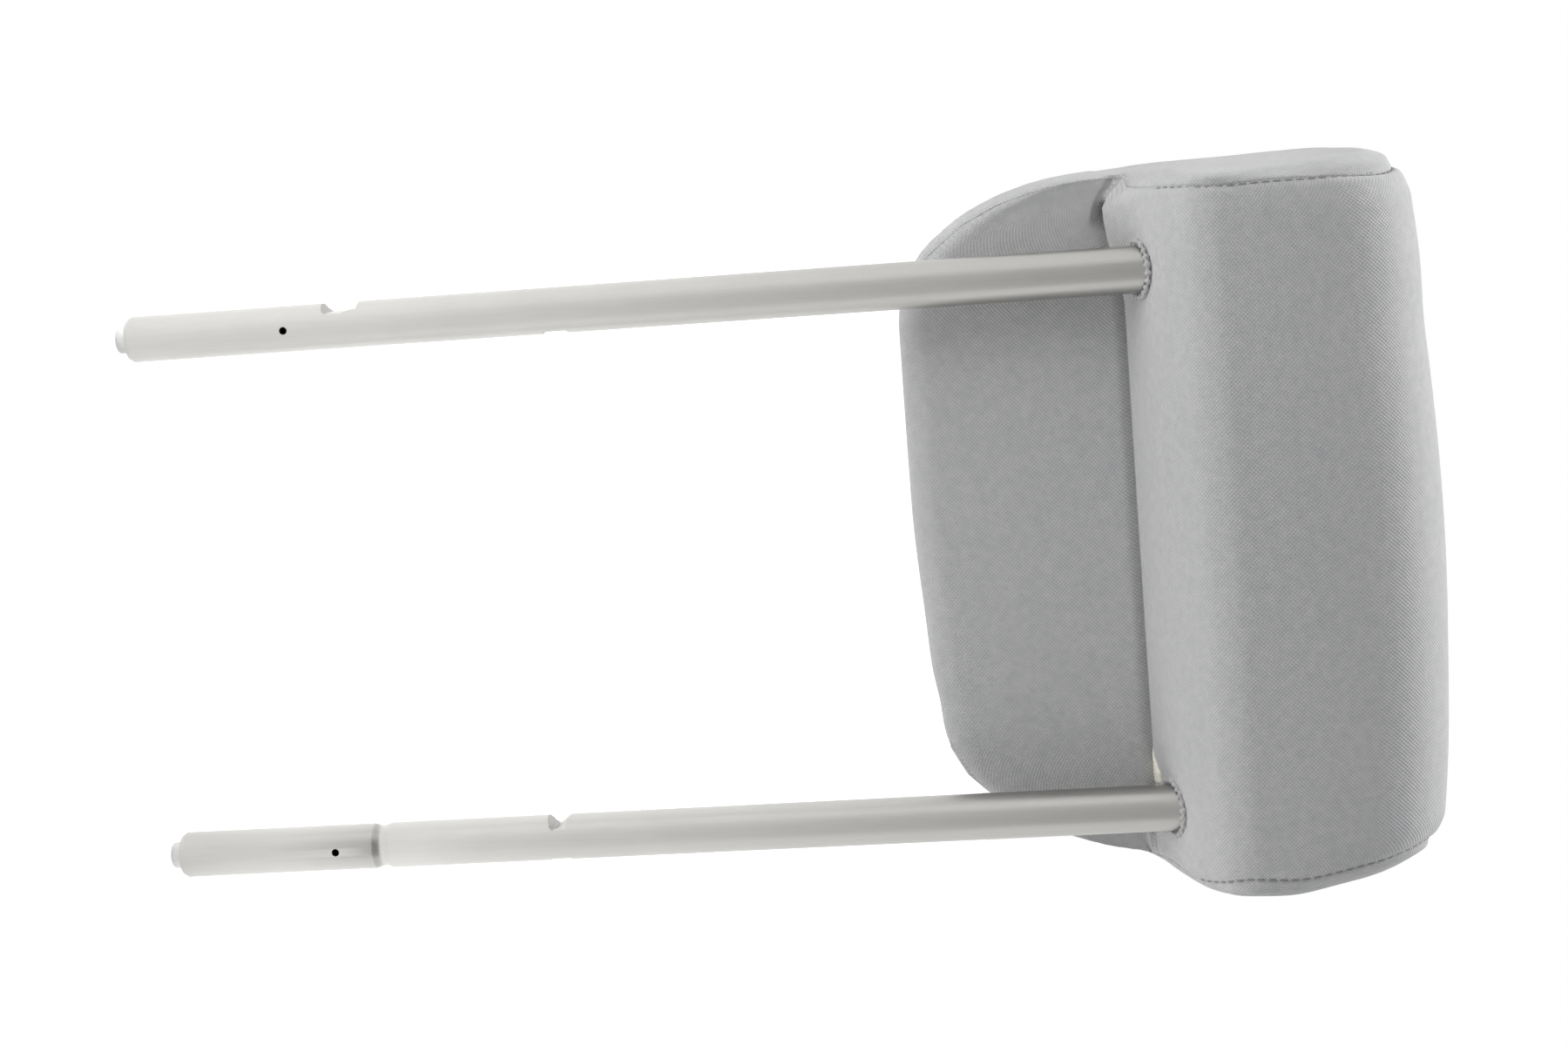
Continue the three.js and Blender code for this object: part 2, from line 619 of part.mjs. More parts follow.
// An oval bead round each post, lying on the sloped underside
function entryRing(postX) {
  const bead = ENTRY_RING_THICKNESS / 2;
  const slope = degrees(UNDERSIDE_SLOPE);
  const geometry = new THREE.TorusGeometry(POST_RADIUS + FIT_GAP + bead, bead, 6, 24);
  geometry.scale(1, 1 / Math.cos(slope), 1);
  geometry.rotateX(slope);
  geometry.translate(postX, 0, ENTRY_HEIGHT - (bead + FIT_GAP) / Math.cos(slope));
  return solidOf(geometry);
}

function carrierOutline(grow) {
  const x = CARRIER_HALF_WIDTH + grow;
  const low = CARRIER_BOTTOM_HEIGHT - grow;
  const high = CARRIER_TOP_HEIGHT + grow;
  const r = CARRIER_CORNER_RADIUS + grow;
  return new THREE.Shape()
    .moveTo(-x + r, low)
    .lineTo(x - r, low)
    .absarc(x - r, low + r, r, -Math.PI / 2, 0)
    .absarc(x - r, high - r, r, 0, Math.PI / 2)
    .absarc(-x + r, high - r, r, Math.PI / 2, Math.PI)
    .absarc(-x + r, low + r, r, Math.PI, 3 * Math.PI / 2);
}

function carrierBlank(grow) {
  const bevel = CARRIER_EDGE_BEVEL + Math.min(grow, 0);
  return prismAlongY(carrierOutline(grow), -CARRIER_FRONT_DEPTH - grow, CARRIER_REAR_DEPTH + grow, bevel);
}

function screwPlaces() {
  const upperX = CARRIER_HALF_WIDTH - UPPER_SCREW_INSET;
  const upperZ = CARRIER_TOP_HEIGHT - UPPER_SCREW_INSET;
  const lowerZ = CARRIER_BOTTOM_HEIGHT + LOWER_SCREW_RISE;
  return [
    [-upperX, upperZ],
    [upperX, upperZ],
    [-LOWER_SCREW_SPACING / 2, lowerZ],
    [LOWER_SCREW_SPACING / 2, lowerZ],
  ];
}

// Stiffening ribs: across the crossbar between the posts, and across each leg
function carrierRibs() {
  const half = RIB_THICKNESS / 2;
  const front = -CARRIER_FRONT_DEPTH;
  const rear = CARRIER_REAR_DEPTH;
  const low = CARRIER_BOTTOM_HEIGHT;
  const ribs = [-RIB_SPACING, 0, RIB_SPACING].map((x) => (
    box(x - half, x + half, front, rear, low, CARRIER_TOP_HEIGHT)));
  for (const x of [POST_X, -POST_X]) {
    for (const rise of LEG_RIB_RISES) {
      const z = low + rise;
      ribs.push(box(x - LEG_RIB_REACH, x + LEG_RIB_REACH, front, rear, z - half, z + half));
    }
  }
  return ribs;
}

function carrierShells() {
  const reach = 2 * TOP_DEPTH;
  const frontSpace = box(-reach, reach, -reach, -FIT_GAP / 2, 0, 2 * HOOP_HEIGHT);
  const rearSpace = box(-reach, reach, FIT_GAP / 2, reach, 0, 2 * HOOP_HEIGHT);
  const blank = carrierBlank(0);
  const bossRadius = SCREW_HEAD_DIAMETER / 2 + FIT_GAP + SCREW_BOSS_WALL;
  const bosses = screwPlaces().map(([x, z]) => (
    bar(x, z, bossRadius, -CARRIER_FRONT_DEPTH, CARRIER_REAR_DEPTH)));
  const inside = unite([...carrierRibs(), ...bosses]).intersect(blank);
  const headSeat = CARRIER_REAR_DEPTH - SCREW_HEAD_HEIGHT - CARRIER_EDGE_BEVEL;
  const tip = headSeat - SCREW_LENGTH - FIT_GAP;
  const holes = screwPlaces().flatMap(([x, z]) => [
    bar(x, z, SCREW_SHANK_DIAMETER / 2 + FIT_GAP, tip - FIT_GAP, reach),
    bar(x, z, SCREW_HEAD_DIAMETER / 2 + FIT_GAP, headSeat - FIT_GAP, reach),
  ]);
  const walled = blank.subtract(carrierBlank(-CARRIER_WALL)).add(inside);
  const cut = subtractAll(walled, [hoopSweep(POST_RADIUS + FIT_GAP), ...holes]);
  return { front: cut.intersect(frontSpace), rear: cut.intersect(rearSpace) };
}

function carrierScrew([x, z]) {
  const head = SCREW_HEAD_DIAMETER / 2;
  const shank = SCREW_SHANK_DIAMETER / 2;
  const seat = CARRIER_REAR_DEPTH - SCREW_HEAD_HEIGHT - CARRIER_EDGE_BEVEL;
  const dome = new THREE.EllipseCurve(0, seat, head, SCREW_HEAD_HEIGHT, 0, Math.PI / 2);
  const profile = [
    new THREE.Vector2(0, seat - SCREW_LENGTH),
    new THREE.Vector2(shank, seat - SCREW_LENGTH + 2 * shank),
    new THREE.Vector2(shank, seat),
    ...dome.getPoints(4),
  ];
  const geometry = new THREE.LatheGeometry(profile, 12);
  geometry.translate(x, 0, z);
  return solidOf(geometry);
}

function buildHeadrest() {
  const headrest = new THREE.Group();
  headrest.name = 'headrest';
  const cover = coverPanels();
  const carrier = carrierShells();
  headrest.add(
    meshOf('post_hoop', postHoop(), materials.steel),
    meshOf('end_plug_left', endPlug(POST_X), materials.plug),
    meshOf('end_plug_right', endPlug(-POST_X), materials.plug),
    meshOf('entry_ring_left', entryRing(POST_X), materials.ring),
    meshOf('entry_ring_right', entryRing(-POST_X), materials.ring),
    meshOf('carrier_front', carrier.front, materials.carrier),
    meshOf('carrier_rear', carrier.rear, materials.carrier),
    meshOf('foam_pad', foamPad(), materials.foam),
    meshOf('cover_main_panel', cover.main, materials.fabric),
    meshOf('cover_side_left', cover.left, materials.fabric),
    meshOf('cover_side_right', cover.right, materials.fabric),
    meshOf('closure_hook_strip', drape(hookStrip()), materials.strip),
    meshOf('closure_catch_strip', drape(catchStrip()), materials.strip),
  );
  screwPlaces().forEach((place, i) => {
    headrest.add(meshOf(`carrier_screw_${i + 1}`, carrierScrew(place), materials.screwSteel));
  });
  return headrest;
}

export default buildHeadrest();
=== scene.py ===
"""Looks of a car headrest: a sewn woven cover on two satin steel posts, seen from behind."""
import math

import bmesh
import bpy
import numpy as np
from mathutils import Matrix, Vector


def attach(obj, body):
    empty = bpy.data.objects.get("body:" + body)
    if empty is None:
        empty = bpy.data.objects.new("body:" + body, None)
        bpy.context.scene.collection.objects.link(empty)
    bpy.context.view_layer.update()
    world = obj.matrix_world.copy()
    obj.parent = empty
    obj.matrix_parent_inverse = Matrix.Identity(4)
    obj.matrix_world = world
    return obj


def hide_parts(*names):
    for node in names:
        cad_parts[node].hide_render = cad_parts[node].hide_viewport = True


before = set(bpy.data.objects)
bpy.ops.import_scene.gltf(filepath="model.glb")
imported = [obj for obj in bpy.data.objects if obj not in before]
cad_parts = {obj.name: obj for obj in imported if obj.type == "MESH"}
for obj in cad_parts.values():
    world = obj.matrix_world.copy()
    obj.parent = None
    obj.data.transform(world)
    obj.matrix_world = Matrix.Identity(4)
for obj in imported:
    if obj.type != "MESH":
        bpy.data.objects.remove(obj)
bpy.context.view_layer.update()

# Lengths are millimetres until a mesh is made, and angles degrees. Left is +X, seen from the seat
MM = 0.001
SIDE_NAMES = {1: "left", -1: "right"}

# Posts
POST_DIAMETER = 13.0
POST_WALL = 1.5
POST_X = 75.0
HOOP_HEIGHT = 328.0
HOOP_BEND_RADIUS = 34.0
POST_END_CHAMFER = 1.2
TUBE_SIDES = 96
BEND_STEPS = 20
PLAIN_RING_HEIGHTS = [20.0, 90.0, 160.0, 220.0]
MARK_ROUNDING = [-0.25, -0.08, 0.08, 0.25]
TUBE_EDGE_ANGLE = 28.0
TURNED_EDGE_ANGLE = 35.0
GAUGE_HOLE_HEIGHT = 46.5
GAUGE_HOLE_DIAMETER = 2.2

# Marks in a post, as height above the tube end and depth; straight lines join the points
LATCH_NOTCH = [(57.0, 0), (57.4, 1.6), (58.6, 2.7), (63.2, 2.7), (65.0, 2.0), (67.3, 2.0), (67.5, 0)]
LEFT_DETENT = [(119.0, 0), (119.6, 0.8), (125.9, 0.8), (126.5, 0)]
STOP_NOTCH = [(108.2, 0), (108.6, 1.2), (109.8, 3.2), (110.2, 3.3), (114.6, 0)]
RIGHT_DETENT = [(108.0, 0), (108.6, 0.8), (114.0, 0.8), (114.6, 0)]
RING_GROOVE = {"start": 57.0, "length": 5.2, "depth": 0.7}

# End plugs
PLUG_NUB_RADIUS = 3.8
PLUG_NUB_LENGTH = 3.4
PLUG_TIP_ROUNDING = 1.2
PLUG_INSERT_LENGTH = 12.0
PLUG_PLAY = 0.15

# Pad seen from the side
ENTRY_HEIGHT = 285.6
UNDERSIDE_SLOPE = 28.5
UNDERSIDE_REACH = 41.0
LIP_BACK = 11.0
LIP_THICKNESS = 27.0
LIP_LENGTH = 63.3
LIP_STUB = 13.0
BACK_HEIGHT = 59.5
BACK_LEAN = 19.0
TOP_DEPTH = 82.0
TOP_SLOPE = 15.0
FRONT_BULGE = 5.0
FRONT_BULGE_RISE = 6.4

# Roundings of the profile: lip back, lip front, front middle, top front, top back, underside, crease
CORNER_RADII = [9.0, 12.0, 140.0, 24.0, 22.0, 12.0, 1.4]
TOP_CORNER = 4
UNDERSIDE_CORNER = 5
CREASE_CORNER = 6
UNDERSIDE_CORNER_EASE = 13.0
BACK_BULGE = 2.2
UNDERSIDE_BULGE = 2.3
BULGE_SHARPNESS = 1.5

# Pad seen from the front
PAD_SHIFT = 3.0
LIP_DRIFT = 4.0
LIP_TUCK = 3.5
LIP_TUCK_RISE = 8.0
SEAM_HALF_WIDTH = 96.5
SIDE_CROWN = 4.8
LEFT_SIDE_CROWN_SHARE = 0.62
LEFT_SIDE_CROWN_GAIN = 0.25
LEFT_SIDE_GAIN_HEIGHTS = (305, 350)
RIGHT_SIDE_CROWN_SHARE = 0.88
RIGHT_SIDE_CROWN_LOSS = 0.2
RIGHT_SIDE_LOSS_HEIGHTS = (325, 360)
RIGHT_TOP_ROUNDNESS = 1.3
RIGHT_TOP_ROUNDING = 12.5
RIGHT_TOP_HEIGHTS = (332, 352)
RIGHT_LIP_REACH_SHARE = 0.5
SIDE_ROUNDING = 9.0
UNDERSIDE_SIDE_ROUNDING = 5.0
SIDE_ROUNDNESS = 1.6
UNDERSIDE_SIDE_DEPTHS = (0, 25)
UNDERSIDE_SIDE_HEIGHTS = (312, 330)
SIDE_SWELL = 0.6
SIDE_SWELL_SPAN = (5.4, 40)
LIP_CROWN_SHARE = 0.45
LIP_CORNER_WIDTH = 44.0
LIP_CORNER_HEIGHT = 66.0
LIP_SEAM_MARGIN = 1.4
TOP_CORNER_WIDTH = 9.0
TOP_CORNER_HEIGHT = 4.5
TOP_CROWN = 4.6
BACK_CROWN = 3.0
FRONT_CROWN = 4.0
BACK_NARROWING = 3.4
SEAM_TURN = 74.0

# Small unevenness of the sewn pad: how much, and between which places it fades in
TOP_HEIGHTS = (315, 352)
TOP_LIFT = 1.3
TOP_TILT = 1.3
TOP_TILT_SPAN = (-20, 80)
RIGHT_TOP_LIFT = 0.6
RIGHT_TOP_LIFT_SPAN = (30, 85)
LEFT_TOP_CORNER_FILL = 1.2
LEFT_TOP_FILL_SPAN = (50, 75)
LEFT_TOP_TIP_SHARE = 0.75
LEFT_TOP_TIP_SPAN = (90, 98)
RIGHT_SHOULDER = {"reach": 2.6, "place": 292.0, "half_length": 9.0}
RIGHT_FLAT = {"reach": 1.3, "place": 316.0, "half_length": 12.0}
RIGHT_END_SPAN = (55, 96)
REAR_HALF_DEPTHS = (-20, 15)
RIGHT_TOP_PULL = 5.8
RIGHT_TOP_PULL_HEIGHTS = (316, 368)
RIGHT_TOP_PULL_SPAN = (50, 98)
LIP_CORNER_HEIGHTS = (222, 268)
RIGHT_LIP_CORNER_LIFT = 2.1
RIGHT_LIP_LIFT_SPAN = (-5, 45)
RIGHT_LIP_DROP_SPAN = (64, 80)
RIGHT_LIP_EASE = {"reach": 2.0, "place": -57.0, "half_length": 10.0}

# Blowing the cover up
COARSE_STEP = 4.5
CLOTH_SHARE = 0.4
CLOTH_FRAMES = 20
CLOTH_SETTINGS = {
    "quality": 5,
    "tension_stiffness": 30,
    "compression_stiffness": 30,
    "shear_stiffness": 20,
    "bending_stiffness": 1.5,
    "use_pressure": True,
    "uniform_pressure_force": 4.0,
}
CLOTH_CAP = 1.2
CLOTH_EASE = 0.3
POST_PIN_MARGIN = 4
POST_PIN_HEIGHTS = (270, 330)

# Sewing
GRID_STEP = 1.9
CREASE_STEP = 0.35
CREASE_CROWDING = 1.9
SEAM_SIDE_PLACES = [7.4, 6, 4.8, 3.8, 3, 2.4, 1.9, 1.5, 1.15, 0.85, 0.6, 0.4, 0.2, 0]
PANEL_ROWS = 132
PANEL_COLUMNS = 52
SEAM_DIP = 1.0
SEAM_DIP_REACH = 9.0
SEAM_GROOVE_DEPTH = 0.8
SEAM_GROOVE_WIDTH = 1.3
LIP_SEAM_EASE = 0.75
LIP_SEAM_START = 12
LIP_SEAM_END = 20
SEAM_JOG = 2.3
SEAM_JOG_RISE = 4.0
SEAM_JOG_LENGTH = 42.0
RIGHT_SEAM_INSET = 1.3
RIGHT_INSET_START = (0, 14)
RIGHT_INSET_END = (100, 130)
CREASE_FOLD_DEPTH = 1.8
CREASE_FOLD_SEAM_SPAN = (2, 7)
CREASE_FOLD_LEFT_END = (91, 95)
CREASE_FOLD_RIGHT_END = (76, 90)
CREASE_END_FILL = 1.8
CREASE_END_FILL_REACH = 4.5
CREASE_FOLD_LIP_WIDTH = 1.7
CREASE_FOLD_BLOCK_WIDTH = 0.45
SLOT_DEPTH = 11.0
SLOT_LIP_WIDTH = 2.8
SLOT_PLACE = 86.3
SLOT_HALF_LENGTH = 2.6
CREASE_BEND = [(66.0, 0.0), (74.0, 1.9), (82.0, 3.5), (88.0, 4.6), (92.0, 4.8), (97.0, 1.8), (100.0, 0.6)]
CREASE_BEND_REACH = 9.0
CREASE_BEND_SEAM_SPAN = (0, 4)
ENTRY_DIMPLE_DEPTH = 0.7
ENTRY_DIMPLE_REACH = 2.6
UNDERSIDE_WINDOW = 60
ENTRY_RING_WINDOW = 45
ENTRY_BEAD = 0.95
ENTRY_BEAD_GAP = 0.25
ENTRY_BEAD_RIDGES = 22
ENTRY_BEAD_STAND = 0.15
COVER_THICKNESS = 1.2
STRIP_EDGE_SPAN = (60.5, 69.5)
STRIP_EDGE_WIDENING = (60.5, 68.5)
STRIP_EDGE_WIDTHS = (0.4, 5.6)
STRIP_EDGE_STEPS = 16
STRIP_EDGE_STAND = 0.45
STITCH_PITCH = 3.0
STITCH_LENGTH = 2.1
STITCH_RISE = 12
LEFT_STITCH_PROUD = 0.45
RIGHT_STITCH_PROUD = 0.0
THREAD_RADIUS = 0.26
THREAD_STEPS = 10
WEAVE_PITCH = 1.1

LIP_HALF_WIDTH = SEAM_HALF_WIDTH + SIDE_CROWN * LIP_CROWN_SHARE
CREASE_HEIGHT = ENTRY_HEIGHT - LIP_BACK * math.tan(math.radians(UNDERSIDE_SLOPE))
LIP_BOTTOM_HEIGHT = CREASE_HEIGHT - LIP_LENGTH
FRONT_BULGE_HEIGHT = ENTRY_HEIGHT + FRONT_BULGE_RISE
CORNER_CENTRE_X = LIP_HALF_WIDTH - LIP_CORNER_WIDTH
CORNER_CENTRE_Z = LIP_BOTTOM_HEIGHT + LIP_CORNER_HEIGHT
POST_RADIUS = POST_DIAMETER / 2


def smooth(value, low, high):
    """0 below low, 1 above high, and a soft step between."""
    t = np.clip((value - low) / (high - low), 0, 1)
    return t * t * (3 - 2 * t)


def bump(value, place, half_length):
    """1 at the place, and falling off softly to both sides."""
    return np.exp(-(((value - place) / half_length) ** 2))


def corner_drop(x, end, width, height):
    """How far an edge has dropped at x, for an elliptical corner that ends at the given half width."""
    share = np.clip((np.abs(x) - end + width) / width, 0, 1)
    return height * (1 - np.sqrt(1 - share**2))


def profile_corners(x):
    """Corners of the side profile at each x: forward distances and heights, one row for each x."""
    crown = (np.minimum(np.abs(x), SEAM_HALF_WIDTH) / SEAM_HALF_WIDTH) ** 2
    slope = math.tan(math.radians(UNDERSIDE_SLOPE))
    lip_front = LIP_BACK + LIP_THICKNESS
    rise = corner_drop(x, LIP_HALF_WIDTH, LIP_CORNER_WIDTH, LIP_CORNER_HEIGHT)
    lip_bottom = np.minimum(LIP_BOTTOM_HEIGHT + rise, CREASE_HEIGHT - LIP_STUB)
    top_drop = TOP_CROWN * crown + corner_drop(x, SEAM_HALF_WIDTH, TOP_CORNER_WIDTH, TOP_CORNER_HEIGHT)
    back_bottom = ENTRY_HEIGHT + UNDERSIDE_REACH * slope
    back_top = back_bottom + BACK_HEIGHT
    back_top_forward = BACK_HEIGHT * math.tan(math.radians(BACK_LEAN)) - UNDERSIDE_REACH
    top_front = back_top_forward + TOP_DEPTH * math.cos(math.radians(TOP_SLOPE))
    top_front_height = back_top - TOP_DEPTH * math.sin(math.radians(TOP_SLOPE))
    share = (FRONT_BULGE_HEIGHT - LIP_BOTTOM_HEIGHT) / (top_front_height - LIP_BOTTOM_HEIGHT)
    front_middle = lip_front + (top_front - lip_front) * share + FRONT_BULGE
    risen = (lip_bottom - LIP_BOTTOM_HEIGHT) / (FRONT_BULGE_HEIGHT - LIP_BOTTOM_HEIGHT)
    front_low = lip_front + (front_middle - lip_front) * risen
    same = np.ones_like(x)
    rear = BACK_CROWN * crown - UNDERSIDE_REACH + UNDERSIDE_CORNER_EASE
    corners = [
        (LIP_BACK * same, lip_bottom),
        (front_low - FRONT_CROWN * crown, lip_bottom),
        (front_middle - FRONT_CROWN * crown, FRONT_BULGE_HEIGHT * same),
        (top_front - FRONT_CROWN * crown, top_front_height - top_drop),
        (back_top_forward + BACK_CROWN * crown, back_top - top_drop),
        (rear, (back_bottom - UNDERSIDE_CORNER_EASE * slope) * same),
        (LIP_BACK * same, CREASE_HEIGHT * same),
    ]
    return np.stack([np.stack(pair, 1) for pair in corners], 1)


def turned(vector, angle):
    """Vectors turned by one angle each."""
    c, s = np.cos(angle), np.sin(angle)
    return np.stack([c * vector[:, 0] - s * vector[:, 1], s * vector[:, 0] + c * vector[:, 1]], 1)


def rounded_pieces(corners):
    """Each corner's rounding as start point, centre and turn, for every row of corners."""
    along = np.roll(corners, -1, 1) - corners
    length = np.linalg.norm(along, axis=2)
    along = along / length[:, :, None]
    before = np.roll(along, 1, 1)
    cross = before[:, :, 0] * along[:, :, 1] - before[:, :, 1] * along[:, :, 0]
    turn = np.arctan2(cross, (before * along).sum(2))
    room = 0.48 * np.minimum(length, np.roll(length, 1, 1))
    half = np.tan(np.abs(turn) / 2)
    radius = np.minimum(np.array(CORNER_RADII)[None, :], room / half)
    start = corners - before * (radius * half)[:, :, None]
    normal = np.stack([-before[:, :, 1], before[:, :, 0]], 2)
    centre = start + normal * (np.sign(turn) * radius)[:, :, None]
    return start, centre, turn, radius


def profile_table(x):
    """The rounded profile at each x, as many samples long for all, and the sample at the crease."""
    start, centre, turn, radius = rounded_pieces(profile_corners(x))
    count = len(CORNER_RADII)
    arcs = []
    for i in range(count):
        length = radius[0, i] * abs(turn[0, i])
        steps = max(4, round(length / (CREASE_STEP if i == CREASE_CORNER else GRID_STEP * 0.8)))
        angles = [turn[:, i] * k / steps for k in range(steps + 1)]
        arcs.append([centre[:, i] + turned(start[:, i] - centre[:, i], a) for a in angles])
    samples, crease = [], 0
    for i in range(count):
        if i == CREASE_CORNER:
            crease = len(samples) + len(arcs[i]) // 2
        samples += arcs[i]
        end, begin = arcs[i][-1], arcs[(i + 1) % count][0]
        length = np.linalg.norm(begin[0] - end[0])
        power = CREASE_CROWDING if CREASE_CORNER in (i, i + 1) else 1.0
        steps = max(2, round(length / GRID_STEP * power**0.6))
        for k in range(1, steps):
            t = k / steps
            if i == CREASE_CORNER:
                t = t**power
            if i + 1 == CREASE_CORNER:
                t = 1 - (1 - t) ** power
            samples.append(end + (begin - end) * t)
    return np.stack(samples, 1), crease


def lip_drop(z):
    """How far down the lip's rounded corner z lies, as a share of the corner's height."""
    drop = (CORNER_CENTRE_Z - z) / (LIP_CORNER_HEIGHT - LIP_SEAM_MARGIN)
    return np.clip(drop, 0, math.sin(math.radians(SEAM_TURN)))


def seam_x(z):
    """Half width at the seam, seen from the front: straight on the block, then round the lip's corner."""
    return CORNER_CENTRE_X + (SEAM_HALF_WIDTH - CORNER_CENTRE_X) * np.sqrt(1 - lip_drop(z) ** 2)


def seam_normal(z):
    """Outward direction across the seam in the front view."""
    drop = lip_drop(z)
    across = np.sqrt(1 - drop**2) / (SEAM_HALF_WIDTH - CORNER_CENTRE_X)
    down = drop / (LIP_CORNER_HEIGHT - LIP_SEAM_MARGIN)
    size = np.sqrt(across**2 + down**2)
    return across / size, -down / size


def closed(points):
    return np.concatenate([points, points[:1]])


def arc_length(points):
    """How far along a line each of its points lies."""
    step = np.linalg.norm(np.diff(points, axis=0), axis=1)
    return np.concatenate([[0], np.cumsum(step)])


def swelling(value, form):
    """How far a rounded swelling stands out at a value of x or z."""
    return form["reach"] * bump(value, form["place"], form["half_length"])


def top_lift(x):
    """How far the top lies above its plain form."""
    corner = smooth(x, *LEFT_TOP_FILL_SPAN) + LEFT_TOP_TIP_SHARE * smooth(x, *LEFT_TOP_TIP_SPAN)
    lift = TOP_LIFT - TOP_TILT * smooth(x, *TOP_TILT_SPAN) + RIGHT_TOP_LIFT * smooth(-x, *RIGHT_TOP_LIFT_SPAN)
    return lift + LEFT_TOP_CORNER_FILL * corner


def lip_lift(x):
    """How far the lip's lower edge lies above its plain form."""
    lift = RIGHT_LIP_CORNER_LIFT * smooth(-x, *RIGHT_LIP_LIFT_SPAN)
    lift = lift * (1 - 0.5 * smooth(-x, *RIGHT_LIP_DROP_SPAN))
    return lift + swelling(x, RIGHT_LIP_EASE)


def right_end_pull(x, y, z):
    """How far the right end is drawn inward, less where its shoulder stands out."""
    shoulder = swelling(z, RIGHT_SHOULDER) + swelling(z, RIGHT_FLAT)
    shoulder = shoulder * smooth(y, *REAR_HALF_DEPTHS) * smooth(-x, *RIGHT_END_SPAN)
    return RIGHT_TOP_PULL * smooth(z, *RIGHT_TOP_PULL_HEIGHTS) * smooth(-x, *RIGHT_TOP_PULL_SPAN) - shoulder


def drape(points):
    """The whole pad's shift, the lip's drift and tuck, the narrowing behind it and small unevenness."""
    out = points.copy()
    x, y, z = points[..., 0], points[..., 1], points[..., 2]
    out[..., 2] += top_lift(x) * smooth(z, *TOP_HEIGHTS)
    out[..., 2] += lip_lift(x) * (1 - smooth(z, *LIP_CORNER_HEIGHTS))
    x = x + right_end_pull(x, y, z)
    behind = np.maximum(0, LIP_BACK + y) / (LIP_BACK + UNDERSIDE_REACH)
    below = np.maximum(0, CREASE_HEIGHT - z)
    tucked = smooth(CREASE_HEIGHT + LIP_TUCK_RISE - z, 0, 1.6 * LIP_TUCK_RISE)
    tuck = np.where(x < 0, LIP_TUCK * tucked, 0) + BACK_NARROWING * behind
    out[..., 0] = x * (1 - tuck / SEAM_HALF_WIDTH) + PAD_SHIFT + LIP_DRIFT * below / LIP_LENGTH
    return out


def main_shares():
    """Places across the main panel from seam to seam, closer together near the seams."""
    inner = SEAM_HALF_WIDTH - SEAM_DIP_REACH
    coarse = np.linspace(0, inner, round(inner / GRID_STEP))
    fine = SEAM_HALF_WIDTH - np.array(SEAM_SIDE_PLACES)
    half = np.concatenate([coarse, fine]) / SEAM_HALF_WIDTH
    return np.concatenate([-half[:0:-1], half])


def spaced(places):
    """Indices of rising places that lie about one coarse step apart, first and last among them."""
    wanted = np.linspace(places[0], places[-1], round((places[-1] - places[0]) / COARSE_STEP) + 1)
    return np.unique([int(np.argmin(np.abs(places - w))) for w in wanted])


def spread(moved, rows, columns, all_rows, all_columns):
    """Movements at a few rows and columns, interpolated for all rows and columns of a grid."""
    wide = np.array([[np.interp(all_columns, columns, part) for part in row.T] for row in moved])
    full = [[np.interp(all_rows, rows, part) for part in column.T] for column in wide.transpose(2, 0, 1)]
    return np.array(full).transpose(2, 0, 1)


def open_normals(points):
    """Normals of an open grid, turned away from its middle."""
    normal = np.cross(np.gradient(points, axis=0), np.gradient(points, axis=1))
    normal = normal / np.maximum(np.linalg.norm(normal, axis=2, keepdims=True), 1e-9)
    return normal * np.sign((normal[..., 0] * points[..., 0]).sum())


def grid_normals(points):
    """Outward normals of a grid whose second axis runs round the closed profile."""
    along = np.roll(points, -1, 1) - np.roll(points, 1, 1)
    across = np.gradient(points, axis=0)
    normal = np.cross(across, along)
    return normal / np.maximum(np.linalg.norm(normal, axis=2, keepdims=True), 1e-9)


